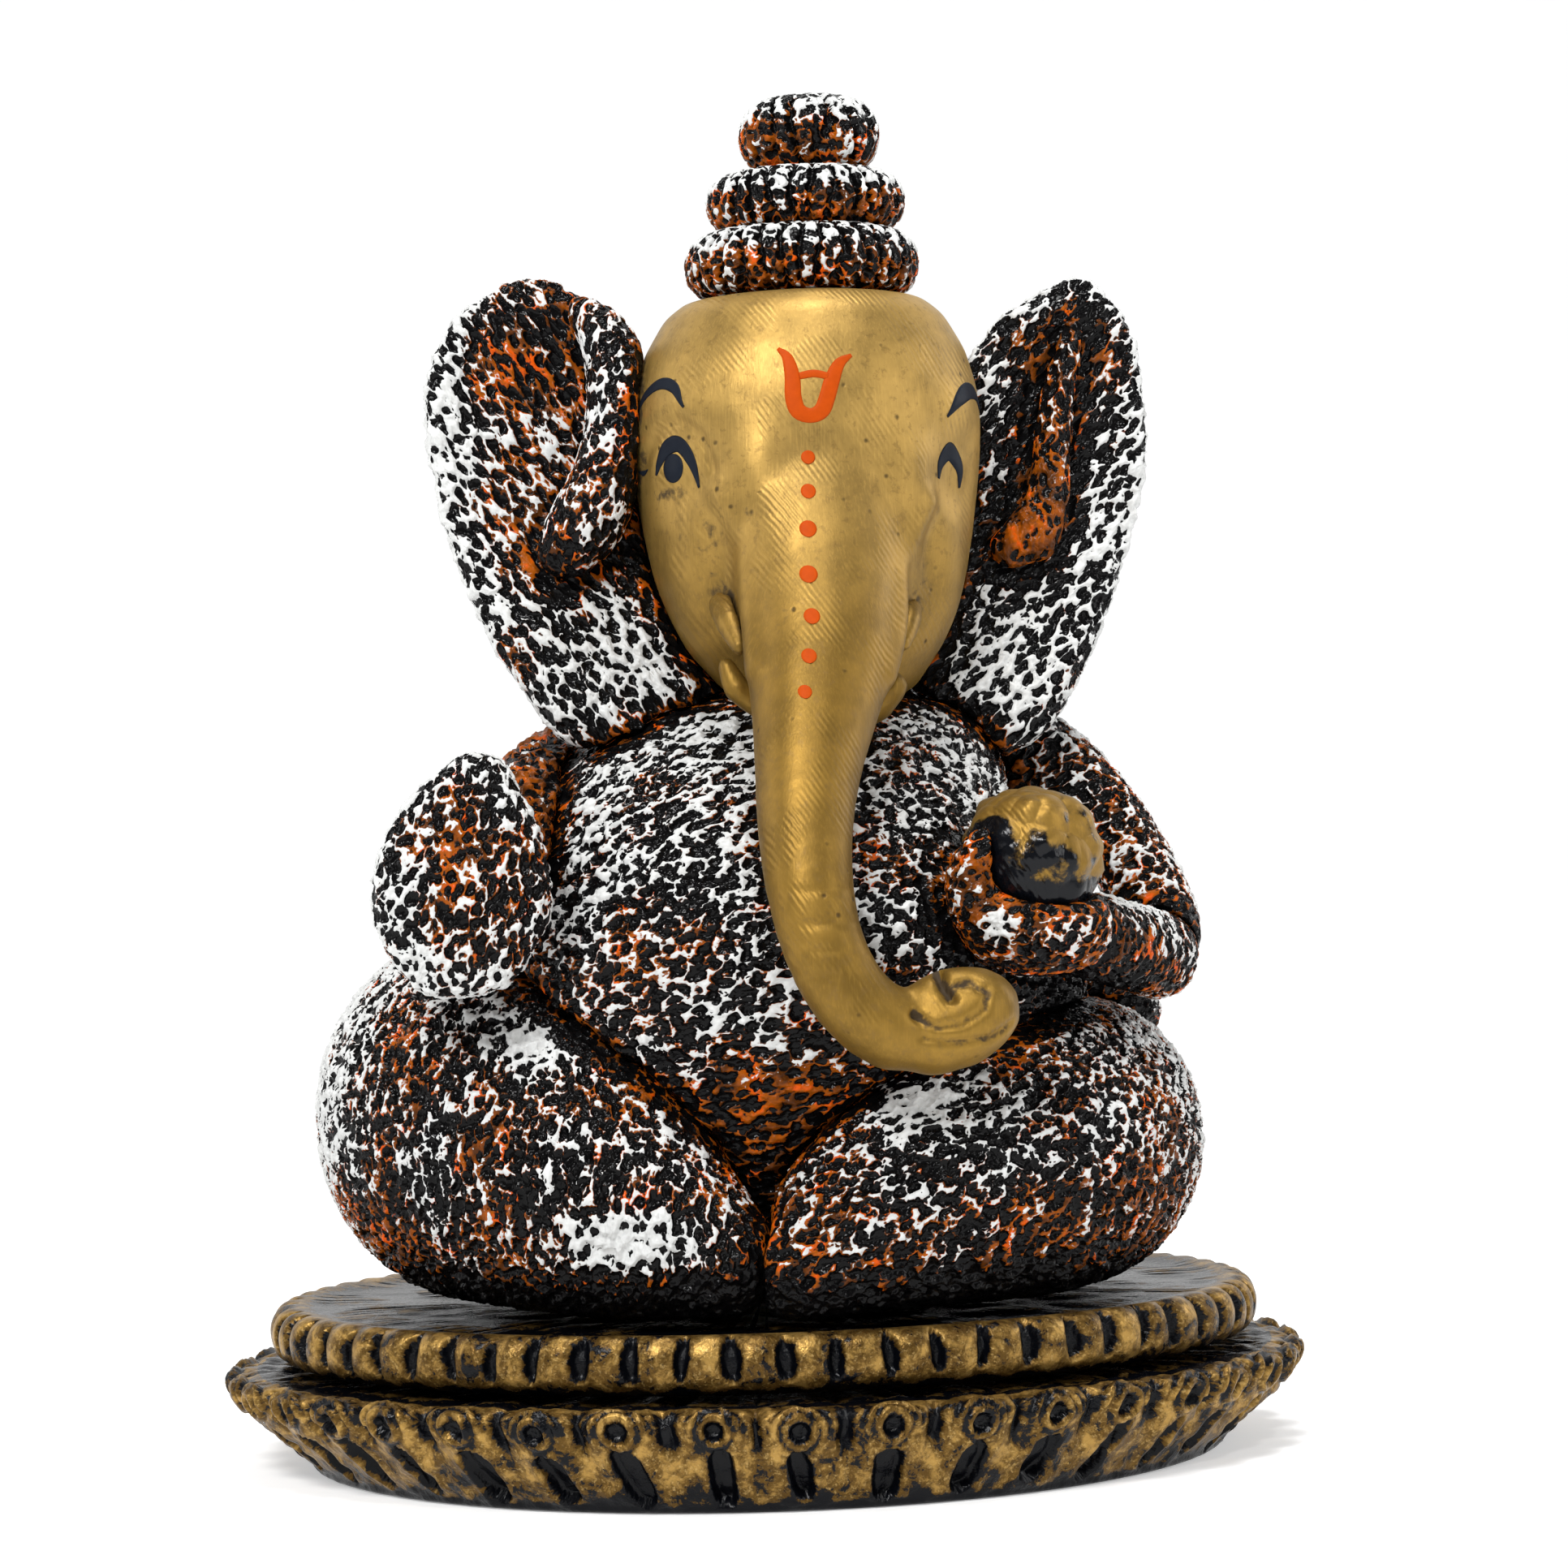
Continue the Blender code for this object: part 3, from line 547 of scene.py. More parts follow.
# creases of the curled tip, as seen from the front; their y is not used
TIP_SLIT = [(15.0, 0.0, 72.4), (15.3, 0.0, 70.4), (16.2, 0.0, 68.9)]
TIP_HOLE = [(11.1, 0.0, 66.9), (11.6, 0.0, 66.5)]
TIP_FOLDS = (
    [(12.2, 0.0, 66.0), (14.0, 0.0, 65.0), (17.5, 0.0, 65.4), (20.6, 0.0, 67.3), (21.2, 0.0, 70.2)],
    [(12.0, 0.0, 63.8), (16.5, 0.0, 62.9), (21.5, 0.0, 63.4), (25.0, 0.0, 65.4)],
    [(17.3, 0.0, 70.6), (19.2, 0.0, 70.9), (20.2, 0.0, 69.8)],
)


def face_shape(points, facing):
    """Sockets, eyeballs, brows and cheeks, the trunk's side ridges, and the creases of its curled tip."""
    for middle, forward, level in EYES:
        inward = 1.0 if middle < HEAD_AXIS[0] else -1.0
        for aside, behind, above, reach, amount in (
            (0.6, 0.0, 0.0, (8.0, 8.0, 7.6), -1.9),  # socket
            (0.0, 0.0, -0.2, (3.8, 4.6, 3.7), 1.5),  # eyeball
            (1.5, 0.0, 9.5, (8.0, 8.0, 3.6), 0.7),  # brow
            (5.5, -3.0, -12.0, (3.4, 8.0, 9.0), -1.4),  # hollow beside the trunk
            (1.5, 2.0, -20.0, (6.5, 9.0, 9.0), 0.7),  # cheek
        ):
            centre = (middle + inward * aside, forward + behind, level + above)
            points = dab(points, facing, centre, reach, amount)
    fold = [
        (-18.0, -19.0, 145.0), (-16.5, -24.0, 149.5), (-14.0, -28.0, 151.0), (-11.0, -31.0, 148.5),
        (-9.6, -32.5, 143.0),
    ]
    high = (points[:, 2] > 120.0) & (points[:, 1] < -10.0)
    points[high] = ridge_along(points[high], facing[high], fold, 1.6, -0.6)
    points = dab(points, facing, (-4.0, -35.5, 142.0), (5.0, 8.0, 9.0), 1.2)
    points = dab(points, facing, (18.4, -35.5, 142.0), (5.0, 8.0, 9.0), 1.2)
    left = [(-9.0, -33.5, 139.0), (-8.4, -36.0, 132.0), (-7.4, -40.0, 123.0), (-5.4, -44.0, 114.0)]
    right = [(21.4, -34.0, 138.0), (19.0, -37.0, 131.0), (16.2, -40.0, 122.0), (12.0, -44.0, 113.0)]
    near = (points[:, 2] > 106.0) & (points[:, 1] < -20.0)
    for path in (left, right):
        points[near] = ridge_along(points[near], facing[near], path, 3.0, 1.3)
    tip = (points[:, 2] < 80.0) & (points[:, 1] < -61.5)
    points[tip] = ridge_along(points[tip], facing[tip], TIP_SLIT, 1.0, -1.7, True)
    points[tip] = ridge_along(points[tip], facing[tip], TIP_HOLE, 0.8, -1.2, True)
    for fold in TIP_FOLDS:
        points[tip] = ridge_along(points[tip], facing[tip], fold, 0.75, -0.55, True)
    for level in (84.0, 79.5, 76.0, 72.5):
        points = dab(points, facing, (-1.0, -64.0, level), (6.0, 8.0, 0.9), -0.22)
    return points


def face_soot_and_shade(points, near):
    """A thin coat of soot all over, with painted shade beside the trunk, round the right eye and tusk, on the
    left of the forehead, where the mask meets its neighbours, and in the creases of the tip.
    """
    # thin soot all over, and painted shade where the mask meets its neighbours
    soot_and_shade_amount = 0.10 + 0.5 * (1.0 - soft_step(near, 0.2, 1.6))
    # painted shade in the hollows beside the trunk, round the right eye and tusk, low on the trunk, under the
    # curl and on the left of the forehead
    for centre, reach, more in (
        ((-13.0, -26.0, 132.0), (6, 9, 9), 0.16),
        ((-9.6, -30.0, 134.0), (2.2, 9, 9), 0.30),
        ((-8.0, -30.0, 113.0), (5, 9, 6), 0.3),
        ((-15.0, -25.0, 140.6), (3.6, 8, 1.5), 0.62),
        ((21.4, -30.0, 130.0), (2.4, 8, 12), 0.30),
        ((-5.5, -38.0, 137.0), (1.5, 6, 2.2), 0.36),
        ((-1.0, -62.0, 108.0), (9, 12, 9), 0.12),
        ((9.0, -57.0, 62.0), (12, 6, 5), 0.25),
        ((24.0, -33.0, 160.0), (8, 9, 6), 0.16),
    ):
        soot_and_shade_amount = soot_and_shade_amount + more * bell(points, centre, reach)
    # painted shade in the creases of the curled tip
    tip = (points[:, 2] < 80.0) & (points[:, 1] < -59.0)
    sideways = np.tile((1.0, 0.0, 0.0), (int(tip.sum()), 1))
    for path, reach, more in (
        (TIP_SLIT, 1.1, 1.2), (TIP_HOLE, 0.9, 1.2), (TIP_FOLDS[0], 0.9, 0.5), (TIP_FOLDS[1], 0.8, 0.42),
        (TIP_FOLDS[2], 1.0, 0.6),
    ):
        moved = ridge_along(points[tip], sideways, path, reach, more, True)
        soot_and_shade_amount[tip] += moved[:, 0] - points[tip, 0]
    return soot_and_shade_amount


def soot_and_joint_shade(points, near):
    """A little soot all over, with painted shade where the piece meets its neighbours."""
    # soot everywhere, and painted shade close to the neighbouring parts
    return 0.12 + 0.5 * (1.0 - soft_step(near, 0.2, 1.4))


def plain_shape(points, facing):
    return points


def gold_piece(node, voxel, rounds, levels, material=GOLD, shape=plain_shape, soot_and_shade=soot_and_joint_shade):
    """Gilt look of one CAD node."""
    obj = remeshed(node, node + "_gilt", voxel, rounds)
    keep(obj.data, "near", distance_to_others(node, obj.data))
    refine(obj, levels)
    mesh = obj.data
    rest, facing = coordinates(mesh), normals(mesh)
    points = shape(rest + facing * GILT_COAT, facing)
    place(mesh, points)
    keep(mesh, "grain", rest)
    keep(mesh, "soot_and_shade", soot_and_shade(points, kept(mesh, "near")))
    return finish_piece(obj, material, "gold_paint", node)


def lumpy(amount, scale):
    """Shape that swells and sinks with a soft cell pattern."""

    def shape(points, facing):
        lift = np.array([voronoi(Vector(p) * scale)[0][0] for p in points])
        return points + facing * (amount * (0.45 - lift))[:, None]

    return shape


def laddu_soot_and_shade(points, near):
    """Soot in the dips between the lumps and thick over the lower front, with painted shade where the laddu
    meets the hand and body.
    """
    lift = np.array([voronoi(Vector(p) * 0.30)[0][0] for p in points])
    # soot in the dips, and painted shade close to the neighbouring parts
    soot_and_shade_amount = 0.06 + 0.45 * soft_step(lift, 0.40, 0.85) + 0.7 * (1.0 - soft_step(near, 0.3, 2.4))
    for centre, reach, more in (
        ((31.0, -54.0, 88.0), (6.5, 6.0, 4.5), 0.72), ((26.5, -51.0, 84.0), (5.5, 8.0, 5.0), 0.7),
        ((37.0, -51.0, 84.0), (6.0, 6.0, 4.0), 0.55), ((24.5, -48.0, 90.0), (3.0, 5.0, 4.5), 0.6),
    ):
        soot_and_shade_amount = soot_and_shade_amount + more * bell(points, centre, reach)
    return soot_and_shade_amount


def build_gold():
    gold_piece("face_mask", 1.05, 10, 1, shape=face_shape, soot_and_shade=face_soot_and_shade)
    gold_piece("right_tusk", 0.5, 4, 1)
    gold_piece("left_tusk", 0.5, 4, 1)
    gold_piece("lower_lip", 0.6, 5, 1)
    gold_piece("laddu", 0.8, 5, 2, OLD_GOLD, shape=lumpy(1.5, 0.22), soot_and_shade=laddu_soot_and_shade)


# ---------------------------------------------------------------- painted marks
# how proud a stroke stands at its edge, how much more at its middle, and how deep it is rooted
PAINT_EDGE = 0.05
PAINT_BODY = 0.13
PAINT_ROOT = 0.35
BEYOND_FACE = 90.0
EYE_TURN = 50


def smooth_path(stations, count):
    """Catmull-Rom line through the stations, whatever their number of columns."""
    stations = np.array(stations, float)
    ends = np.vstack([2 * stations[0] - stations[1], stations, 2 * stations[-1] - stations[-2]])
    out = []
    for at in np.linspace(0.0, len(stations) - 1.0, count):
        k = min(int(at), len(stations) - 2)
        t = at - k
        a, b, c, d = ends[k : k + 4]
        slope, bend, twist = c - a, 2 * a - 5 * b + 4 * c - d, 3 * b - a - 3 * c + d
        out.append(b + 0.5 * (slope * t + bend * t**2 + twist * t**3))
    return np.array(out)


def dot(u, z, radius):
    """A round dab as a stroke down its own middle."""
    turns = np.linspace(0.5 * math.pi, -0.5 * math.pi, 9)
    return [(u, z + radius * math.sin(a), max(radius * math.cos(a), 0.04)) for a in turns]


def painted(name, strokes, turn, material, target):
    """Thin raised strokes laid on the mask.

    Each stroke is (u, z, half width) on an upright plane turned about the head's axis by the turn."""
    angle = math.radians(turn)
    across = Vector((math.cos(angle), math.sin(angle), 0.0))
    out = Vector((math.sin(angle), -math.cos(angle), 0.0))
    axis = Vector(HEAD_AXIS)
    points, faces = [], []
    count, wide = 41, 9
    for stroke in strokes:
        line = smooth_path(stroke, count)
        along = np.gradient(line[:, :2], axis=0)
        side = np.column_stack([-along[:, 1], along[:, 0]])
        side /= np.linalg.norm(along, axis=1)[:, None] + 1e-9
        start = len(points)
        for (u, z, half), (su, sz) in zip(line, side):
            for t in np.linspace(-1.0, 1.0, wide):
                at = axis + across * float(u + su * half * t) + Vector((0, 0, float(z + sz * half * t)))
                hit = target.ray_cast((at + out * BEYOND_FACE) * MM, -out)[0] / MM
                thick = PAINT_EDGE + PAINT_BODY * (1.0 - t**4)
                points += [hit + out * thick, hit - out * PAINT_ROOT]
        top = np.arange(start, start + 2 * count * wide, 2).reshape(count, wide)
        low = top + 1
        for i in range(count - 1):
            for j in range(wide - 1):
                faces.append((top[i, j], top[i + 1, j], top[i + 1, j + 1], top[i, j + 1]))
                faces.append((low[i, j], low[i, j + 1], low[i + 1, j + 1], low[i + 1, j]))
            faces.append((top[i, 0], low[i, 0], low[i + 1, 0], top[i + 1, 0]))
            faces.append((top[i, -1], top[i + 1, -1], low[i + 1, -1], low[i, -1]))
        for j in range(wide - 1):
            faces.append((top[0, j], top[0, j + 1], low[0, j + 1], low[0, j]))
            faces.append((top[-1, j], low[-1, j], low[-1, j + 1], top[-1, j + 1]))
    mesh = bpy.data.meshes.new(name)
    mesh.from_pydata([tuple(p * MM) for p in points], [], [tuple(int(i) for i in f) for f in faces])
    obj = link(name, mesh)
    work = bmesh.new()
    work.from_mesh(mesh)
    bmesh.ops.recalc_face_normals(work, faces=work.faces)
    work.to_mesh(mesh)
    work.free()
    mesh.materials.append(material)
    mesh.shade_smooth()
    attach(obj, "root")
    return obj


def build_marks():
    """Forehead mark and trunk dots seen from the front, and each eye on a plane turned towards its side."""
    mask = bpy.data.objects["face_mask_gilt"].data
    target = BVHTree.FromPolygons([v.co for v in mask.vertices], [tuple(p.vertices) for p in mask.polygons])
    horns = [
        (-7.3, 160.3, 0.25), (-6.1, 158.9, 0.75), (-5.6, 156.2, 1.05), (-5.6, 153.2, 1.15),
        (-5.0, 151.2, 1.15), (-3.3, 150.5, 1.05), (-1.7, 151.2, 1.15), (-0.8, 153.2, 1.15),
        (0.0, 155.6, 1.1), (1.2, 157.9, 0.8), (3.0, 159.1, 0.25),
    ]
    bar = [(-4.6, 156.2, 0.5), (-2.6, 156.5, 0.55), (-0.6, 156.1, 0.5)]
    dots = (
        (-3.9, 144.6, 0.98), (-4.3, 139.7, 1.05), (-4.8, 134.3, 1.2), (-5.4, 127.8, 1.25),
        (-5.6, 121.8, 1.12), (-6.6, 116.2, 1.05), (-7.7, 111.2, 0.95),
    )
    painted("brow_mark", [horns, bar], 0, RED_PAINT, target)
    painted("trunk_dots", [dot(*each) for each in dots], 0, RED_PAINT, target)
    lid = [
        (-4.0, 143.6, 0.2), (-3.1, 145.3, 0.7), (-1.2, 147.3, 1.15), (1.4, 147.6, 1.15), (3.6, 145.1, 0.85),
        (5.0, 141.2, 0.2),
    ]
    brow = [
        (-9.6, 151.8, 0.2), (-7.0, 154.9, 0.6), (-2.4, 156.6, 0.85), (1.4, 155.6, 0.75), (3.5, 152.7, 0.2)
    ]
    pupil = dot(0.0, 144.3, 2.1)
    outer_corner = [(-9.0, 144.5, 0.12), (-7.6, 144.2, 0.42), (-6.2, 144.6, 0.12)]
    painted("right_eye_paint", [lid, brow, pupil, outer_corner], -EYE_TURN, SLATE_PAINT, target)
    lid = [
        (-8.0, 141.8, 0.3), (-7.2, 144.2, 1.0), (-4.8, 145.8, 1.35), (-2.4, 143.9, 1.15), (-1.9, 140.7, 0.25)
    ]
    brow = [
        (-7.0, 150.6, 0.2), (-4.4, 153.1, 1.0), (-0.6, 154.7, 1.25), (3.4, 154.6, 1.0), (6.8, 152.6, 0.2)
    ]
    painted("left_eye_paint", [lid, brow], EYE_TURN, SLATE_PAINT, target)


# ---------------------------------------------------------------- turned surfaces
def sweep_grid(name, grid, lift, **attributes):
    """Closed body from a grid of points (rows, columns, 3): rows run outside it from bottom to top.

    lift is the outward offset of every grid point; the attributes are stored on the mesh."""
    rows, columns = grid.shape[:2]
    across = np.roll(grid, -1, axis=1) - np.roll(grid, 1, axis=1)
    upward = np.gradient(grid, axis=0)
    out = np.cross(across, upward)
    out /= np.linalg.norm(out, axis=2, keepdims=True) + 1e-12
    points = (grid + out * lift[:, :, None]).reshape(-1, 3)
    index = np.arange(rows * columns).reshape(rows, columns)
    right = np.roll(index, -1, axis=1)
    quads = np.stack([index[:-1], right[:-1], right[1:], index[1:]], axis=-1).reshape(-1, 4)
    low, high = len(points), len(points) + 1
    points = np.vstack([points, points[:columns].mean(axis=0), points[-columns:].mean(axis=0)])
    faces = quads.tolist()
    faces += [[low, right[0, k], index[0, k]] for k in range(columns)]
    faces += [[high, index[-1, k], right[-1, k]] for k in range(columns)]
    mesh = bpy.data.meshes.new(name)
    mesh.from_pydata([tuple(p) for p in points * MM], [], faces)
    for key, values in attributes.items():
        flat = values.reshape(rows * columns, -1)
        flat = np.vstack([flat, flat[:columns].mean(axis=0), flat[-columns:].mean(axis=0)])
        keep(mesh, key, flat if flat.shape[1] == 3 else flat[:, 0])
    return link(name, mesh)


def profile_rows(stations, count):
    """Rows of (half width, half depth, z) spaced evenly along the outline."""
    run = np.concatenate([[0.0], np.cumsum(np.linalg.norm(np.diff(stations[:, [0, 2]], axis=0), axis=1))])
    at = np.linspace(0.0, run[-1], count)
    return np.column_stack([np.interp(at, run, stations[:, k]) for k in range(3)])


def oval_grid(section, angle):
    """Points (rows, columns, 3) of an upright body with oval sections."""
    levels = np.repeat(section[:, 2:3], len(angle), axis=1)
    return np.stack([section[:, 0:1] * np.cos(angle), section[:, 1:2] * np.sin(angle), levels], axis=-1)


def pulse(values, middle, width):
    """1 at the middle, fading to nothing on both sides."""
    return np.exp(-(((values - middle) / width) ** 2))


def rounded(stations):
    """Corner-cut the outline twice so that it reads as modelled, not turned."""
    stations = np.array(stations, float)
    for _ in range(2):
        a, b = stations[:-1], stations[1:]
        cut = np.empty((2 * len(a), stations.shape[1]))
        cut[0::2], cut[1::2] = 0.75 * a + 0.25 * b, 0.25 * a + 0.75 * b
        stations = np.vstack([stations[:1], cut, stations[-1:]])
    return stations


def wobble(seed, count):
    return np.random.default_rng(seed).uniform(-1.0, 1.0, count)


def build_lower_tier():
    """Flaring drum with lobes, stamped eyes, a V between lobes and leaning slots cut under them."""
    lobes, columns, rows = 40, 40 * 30, 74
    low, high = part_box("base_lower_tier")
    full = (0.5 * (high.x - low.x) / MM, 0.5 * (high.y - low.y) / MM)
    foot = (68.5, 63.5)
    stations = rounded([
        (foot[0] * 0.93, foot[1] * 0.93, 0.0), (foot[0] * 0.99, foot[1] * 0.99, 0.0),
        (foot[0] + 0.6, foot[1] + 0.3, 0.9),
        (foot[0] + 0.42 * (full[0] - foot[0]), foot[1] + 0.42 * (full[1] - foot[1]), 5.0),
        (foot[0] + 0.80 * (full[0] - foot[0]), foot[1] + 0.80 * (full[1] - foot[1]), 9.4),
        (full[0] + 0.2, full[1] + 0.2, 12.6), (full[0] * 0.992, full[1] * 0.992, 14.4),
        (full[0] * 0.95, full[1] * 0.95, 15.2), (full[0] * 0.90, full[1] * 0.90, 15.0),
        (full[0] * 0.87, full[1] * 0.87, 15.0),
    ])
    section = profile_rows(stations, rows)
    angle = 2 * math.pi * np.arange(columns) / columns
    grid = oval_grid(section, angle)
    pitch = np.hypot(full[0] * np.sin(angle), full[1] * np.cos(angle)) * 2 * math.pi / lobes
    which = np.floor(angle / (2 * math.pi) * lobes).astype(int)
    along = ((angle / (2 * math.pi) * lobes) % 1.0 - 0.5 + 0.05 * wobble(3, lobes)[which]) * pitch
    z = grid[:, :, 2]
    shoulder = int(np.argmin(np.abs(section[:, 2] - 12.0)))
    up = np.zeros_like(z)
    steps = np.linalg.norm(np.diff(grid, axis=0), axis=2)
    up[1:] = np.cumsum(steps, axis=0)
    up = up - up[shoulder]
    eye_up = (-0.3 + 0.35 * wobble(5, lobes)[which])[None, :]
    size = (1.0 + 0.10 * wobble(6, lobes)[which])[None, :]
    radius = np.hypot(along[None, :], up - eye_up) / size
    upper = up > eye_up - 0.5
    inner_dip = pulse(radius, 2.8, 0.35)
    outer_dip = pulse(radius, 4.3, 0.4) * upper
    ring = 0.6 * pulse(radius, 2.1, 0.42) + 0.5 * pulse(radius, 3.5, 0.45) * upper
    dish = -0.3 * inner_dip - 0.35 * outer_dip
    pellet = (wobble(8, lobes)[which] > 0.45)[None, :]
    hole = 1 - soft_step(radius, 1.0, 1.7)
    heart = np.where(pellet, 0.7 * (1 - soft_step(radius, 0.3, 1.3)), -1.4 * hole)
    edge = 0.5 * pitch - np.abs(along)
    vee = pulse(edge, 0.0, 0.85)[None, :] * soft_step(z, 7.0, 10.5) * (1 - soft_step(z, 14.6, 15.2))
    lean = (np.clip(np.cos(angle) * 2.4, -1, 1) * 0.10)[None, :] + 0.16 * wobble(9, lobes)[which][None, :]
    slot_z = 5.0 + 0.4 * wobble(10, lobes)[which][None, :]
    half_z = 4.0 + 0.6 * wobble(11, lobes)[which][None, :]
    rise = (z - slot_z) / half_z
    width = (2.15 + 0.5 * wobble(12, lobes)[which][None, :]) * np.sqrt(np.clip(1 - rise**4, 0, 1)) + 1e-6
    aside = np.abs(along[None, :] - lean * (z - slot_z)) / width
    slot = (1 - soft_step(aside, 0.6, 1.1)) * (np.abs(rise) < 1)
    lobe = 1.1 * np.cos(math.pi * along / pitch)[None, :] ** 2
    lobe = lobe * soft_step(z, 0.5, 8.0) * (1 - soft_step(z, 14.0, 15.2))
    rough = np.array([[hash_noise(Vector(p) * 0.42) for p in row[::3]] for row in grid])
    rough = 0.5 * (np.repeat(rough, 3, axis=1) + np.roll(np.repeat(rough, 3, axis=1), 1, axis=1))
    lift = lobe - 0.6 + ring + dish + heart - 1.7 * vee - 2.0 * slot + 0.45 * rough
    lift *= soft_step(z, 0.0, 0.6)
    lift = np.minimum(lift, 0.75)
    dark = np.clip(1.0 * slot + 0.9 * vee + np.where(pellet, 0.1, 1.0) * hole, 0, 1)
    dark += 0.45 * inner_dip + 0.5 * outer_dip
    dark += np.where(pellet, 0.6, 0.0) * pulse(radius, 1.35, 0.3)
    # painted shade low on the flare, near the floor
    dark += 0.7 * (1.0 - soft_step(z, 0.3, 1.5)) + 0.22 * (1.0 - soft_step(z, 1.5, 6.0))
    # painted shade under the upper tier
    under_upper_tier = (grid[:, :, 0] / full[0]) ** 2 + (grid[:, :, 1] / full[1]) ** 2 < 0.90
    dark += soft_step(z, 14.9, 15.2) * under_upper_tier
    obj = sweep_grid("plinth_lower_gilt", grid, lift, carve=dark, grain=grid)
    return finish_piece(obj, PLINTH, "plinth_gold", "base_lower_tier")


def build_upper_tier():
    """Slab with a beaded, notched rim and a scratched dark top."""
    beads, columns = 64, 64 * 18
    low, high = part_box("base_upper_tier")
    full = (0.5 * (high.x - low.x) / MM, 0.5 * (high.y - low.y) / MM)
    top = high.z / MM
    bottom = low.z / MM
    stations = rounded([
        (full[0] * 0.88, full[1] * 0.88, bottom), (full[0] * 0.94, full[1] * 0.94, bottom),
        (full[0] * 0.99, full[1] * 0.99, bottom + 1.6), (full[0], full[1], bottom + 3.8),
        (full[0], full[1], bottom + 6.0), (full[0] * 0.985, full[1] * 0.985, top - 0.7),
        (full[0] * 0.955, full[1] * 0.955, top), (full[0] * 0.92, full[1] * 0.92, top - 0.5),
        (full[0] * 0.89, full[1] * 0.89, top - 0.75),
    ])
    section = profile_rows(stations, 44)
    inner = np.linspace(1.0, 0.30, 40)[1:]
    last = section[-1]
    flat = np.column_stack([last[0] * inner, last[1] * inner, np.full(len(inner), last[2])])
    section = np.vstack([section, flat])
    angle = 2 * math.pi * np.arange(columns) / columns
    grid = oval_grid(section, angle)
    z = grid[:, :, 2]
    pitch = np.hypot(full[0] * np.sin(angle), full[1] * np.cos(angle)) * 2 * math.pi / beads
    which = np.round(angle / (2 * math.pi) * beads).astype(int) % beads
    along = (angle / (2 * math.pi) * beads - np.round(angle / (2 * math.pi) * beads)) * pitch
    along = along + 0.35 * wobble(21, beads)[which]
    scale = section[:, 0:1] / full[0]
    rim = soft_step(scale, 0.945, 0.975)
    middle = bottom + 5.2 + 0.4 * wobble(22, beads)[which][None, :]
    rise = (z - middle) / (3.3 + 0.4 * wobble(23, beads)[which][None, :])
    width = (1.35 + 0.35 * wobble(24, beads)[which][None, :]) * np.sqrt(np.clip(1 - rise**2, 0, 1)) + 1e-6
    lean = 0.12 * wobble(25, beads)[which][None, :]
    aside = np.abs(along[None, :] - lean * (z - middle)) / width
    notch = (1 - soft_step(aside, 0.5, 1.15)) * (np.abs(rise) < 1) * rim
    bead = -0.25 * np.cos(2 * math.pi * along / pitch)[None, :] * rim
    spoke = np.array([hash_noise((math.cos(a) * 26, math.sin(a) * 26, 0.3)) for a in angle])[None, :]
    inside = 1 - soft_step(scale, 0.90, 0.94)
    fade = np.array([[hash_noise((x * 0.16, y * 0.16, 7.7)) for x, y, _ in row[::4]] for row in grid])
    fade = np.repeat(fade, 4, axis=1)
    scratch = soft_step(np.abs(spoke) * -1.0, -0.10, 0.0) * inside * soft_step(fade, -0.15, 0.25)
    lift = bead - 1.7 * notch - 0.35 * scratch + 0.22 * fade * inside
    lift = np.minimum(lift, 0.25)
    dark = np.clip(1.05 * notch + 0.75 * scratch, 0, 1.05) + 0.5 * inside * soft_step(-fade, -0.25, 0.25)
    # a darker top, and painted shade along the bottom edge where the tier sits on the lower one
    dark += 0.25 * inside + 1.0 - soft_step(z, bottom + 0.2, bottom + 1.8)
    obj = sweep_grid("plinth_upper_gilt", grid, lift, carve=dark, grain=grid)
    return finish_piece(obj, PLINTH, "plinth_gold", "base_upper_tier")


def crown_roll(node, ribs, fullness, seed, depth):
    """Ribbed roll: irregular grooves run up and over it, white on its crest and orange below."""
    low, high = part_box(node)
    cx, cy = 500.0 * (low.x + high.x), 500.0 * (low.y + high.y)
    radius = 0.5 * (high.x - low.x) / MM
    z0, z1 = low.z / MM, high.z / MM
    columns, rows = 720, 52
    angle = 2 * math.pi * np.arange(columns) / columns
    tilt = np.linspace(-0.5 * math.pi, 0.5 * math.pi, rows)[:, None]
    reach = radius - fullness * (1 - np.cos(tilt)) - 0.3
    level = 0.5 * (z0 + z1) + 0.5 * (z1 - z0) * np.sin(tilt)
    phase = angle / (2 * math.pi) * ribs + 0.45 * np.array([
        hash_noise((math.cos(a) * 2.2, math.sin(a) * 2.2, seed)) for a in angle
    ])
    sway = 0.18 * np.sin(2.0 * tilt + 6.0 * angle[None, :])
    gap = np.abs((phase[None, :] + sway) % 1.0 - 0.5) * 2.0
    groove = 1 - soft_step(gap, 0.05, 0.5)
    side = np.clip(np.cos(tilt) * 1.4, 0, 1)
    grid = np.stack([
        cx + reach * np.cos(angle), cy + reach * np.sin(angle), np.repeat(level, columns, axis=1)
    ], axis=-1)
    lift = -depth * groove * side + 0.25
    height = (level - z0) / (z1 - z0)
    crest = soft_step(height, 0.45, 0.8) - 0.35
    white = 0.28 + 0.8 * crest - 1.4 * groove * side
    orange = 0.75 * (1 - height) - 0.05 - 0.9 * groove * side
    shallow = (1.0 - 0.55 * groove) * side
    obj = sweep_grid(node + "_clay", grid, lift, grain=grid, white=white, orange=orange, depth=shallow)
    raise_relief(obj, 0.45)
    return finish_piece(obj, CLAY, "pitted_paint", node)


def build_crown():
    crown_roll("crown_lower_roll", 34, 4.2, 1.5, 1.0)
    crown_roll("crown_middle_roll", 28, 3.6, 4.5, 1.0)
    crown_roll("crown_top_knob", 15, 4.6, 8.5, 1.1)


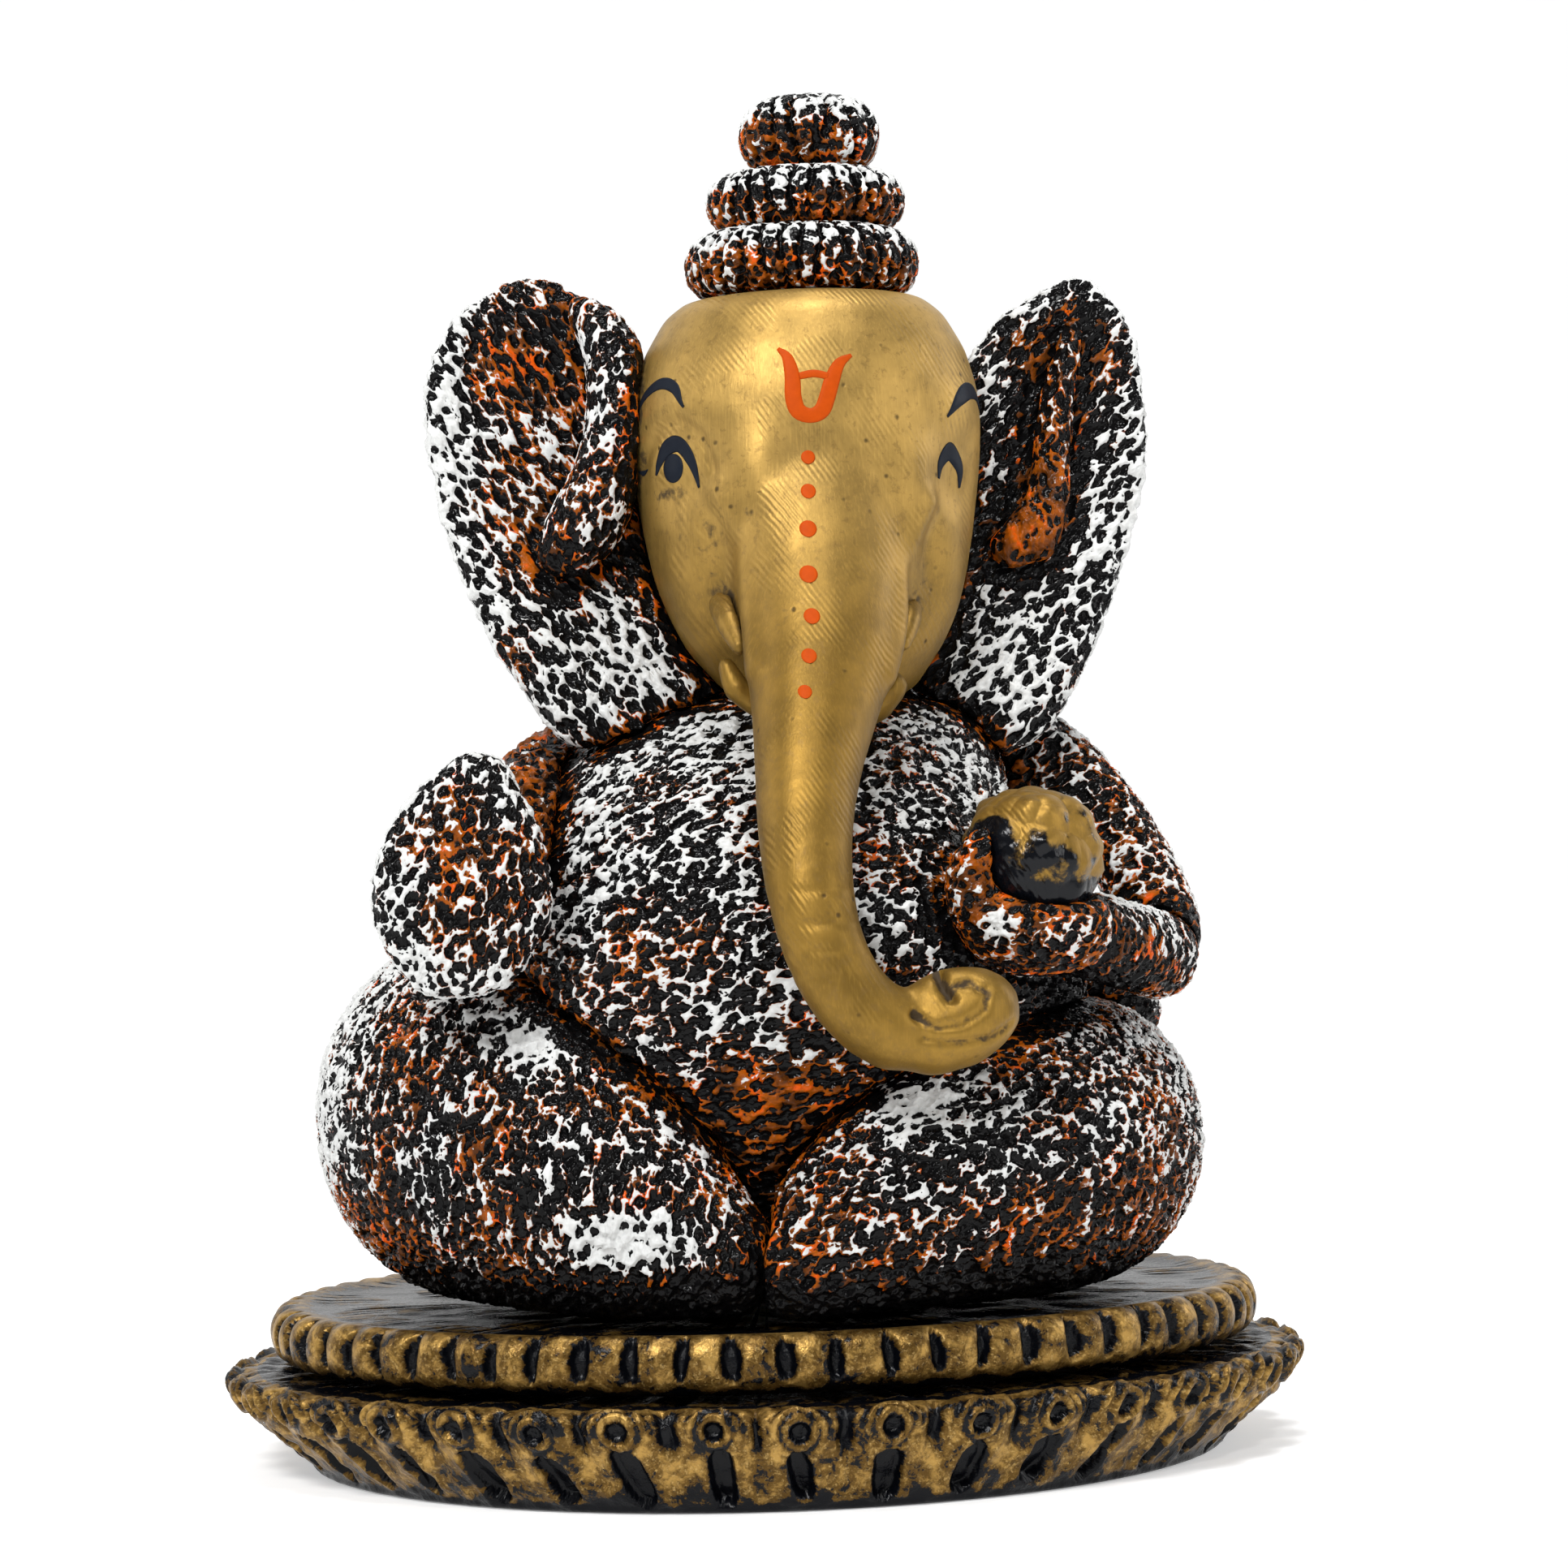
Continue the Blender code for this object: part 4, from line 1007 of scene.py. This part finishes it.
# ---------------------------------------------------------------- stage
def stage():
    """White paper sweep, soft white world and six soft lamps."""
    floor_mesh = bpy.data.meshes.new("studio_floor")
    work = bmesh.new()
    rows = [(-3.0, 0.0), (0.8, 0.0), (1.15, 0.05), (1.4, 0.3), (1.45, 3.0)]
    lines = [[work.verts.new((x, y, z)) for x in (-4.0, 4.0)] for y, z in rows]
    for low, high in zip(lines, lines[1:]):
        work.faces.new((low[0], low[1], high[1], high[0]))
    work.to_mesh(floor_mesh)
    work.free()
    floor = link("studio_floor", floor_mesh)
    material, tree, shader = new_material("studio_paper")
    spot = put(tree, "ShaderNodeTexCoord").outputs["Object"]
    away = put(tree, "ShaderNodeSeparateXYZ", {0: spot}).outputs[1]
    glow = step(tree, away, 0.05, 0.9, 0.35, 1.0)
    paper = blend(tree, noise(tree, spot, 3.0), (0.80, 0.80, 0.80, 1), (0.86, 0.86, 0.86, 1))
    colour = blend(tree, step(tree, away, 0.05, 0.9), paper, (0, 0, 0, 1))
    tree.links.new(colour, shader.inputs["Base Color"])
    tree.links.new(glow, shader.inputs["Emission Strength"])
    shader.inputs["Emission Color"].default_value = (1, 1, 1, 1)
    shader.inputs["Roughness"].default_value = 0.9
    floor_mesh.materials.append(material)

    world = bpy.data.worlds.new("studio")
    bpy.context.scene.world = world
    world.use_nodes = True
    background = world.node_tree.nodes["Background"]
    background.inputs["Color"].default_value = (1.0, 1.0, 1.0, 1)
    background.inputs["Strength"].default_value = 0.20

    middle = Vector((0.0, 0.0, 0.1))

    def lamp(name, place_at, size, watts):
        light = bpy.data.lights.new(name, "AREA")
        light.shape = "RECTANGLE"
        light.size, light.size_y = size
        light.energy = watts
        obj = bpy.data.objects.new(name, light)
        bpy.context.scene.collection.objects.link(obj)
        obj.location = place_at
        obj.rotation_euler = (middle - Vector(place_at)).to_track_quat("-Z", "Y").to_euler()

    lamp("key", (-0.45, -0.68, 0.72), (0.26, 0.26), 8.0)
    lamp("fill", (0.75, -0.60, 0.35), (0.3, 0.4), 2.0)
    lamp("top", (0.05, -0.10, 0.80), (0.22, 0.22), 3.0)
    lamp("glint", (0.10, -0.90, 0.95), (0.06, 0.06), 2.0)
    lamp("left", (-0.80, 0.10, 0.40), (0.15, 0.4), 1.4)
    lamp("right", (0.80, 0.15, 0.40), (0.15, 0.4), 1.6)


def camera():
    """Eye level just under half the figure's height, turned a little to the figure's right side."""
    turn, roll = math.radians(9.0), math.radians(1.6)
    distance, eye = 0.655, 0.096
    data = bpy.data.cameras.new("camera")
    obj = bpy.data.objects.new("camera", data)
    bpy.context.scene.collection.objects.link(obj)
    place_at = Vector((-distance * math.sin(turn), -distance * math.cos(turn), eye))
    ahead = Vector((math.sin(turn), math.cos(turn), 0.0))
    across = Vector((math.cos(turn), -math.sin(turn), 0.0))
    axes = Matrix((across, Vector((0, 0, 1)), -ahead)).transposed() @ Matrix.Rotation(-roll, 3, "Z")
    obj.matrix_world = Matrix.Translation(place_at) @ axes.to_4x4()
    data.sensor_width = 36.0
    data.lens = 100.56
    data.shift_x = 0.0205
    data.shift_y = 0.0125
    data.clip_start = 0.01
    bpy.context.scene.camera = obj
    bpy.context.scene.view_settings.view_transform = "Standard"


build_clay()
build_gold()
build_marks()
build_lower_tier()
build_upper_tier()
build_crown()
stage()
camera()
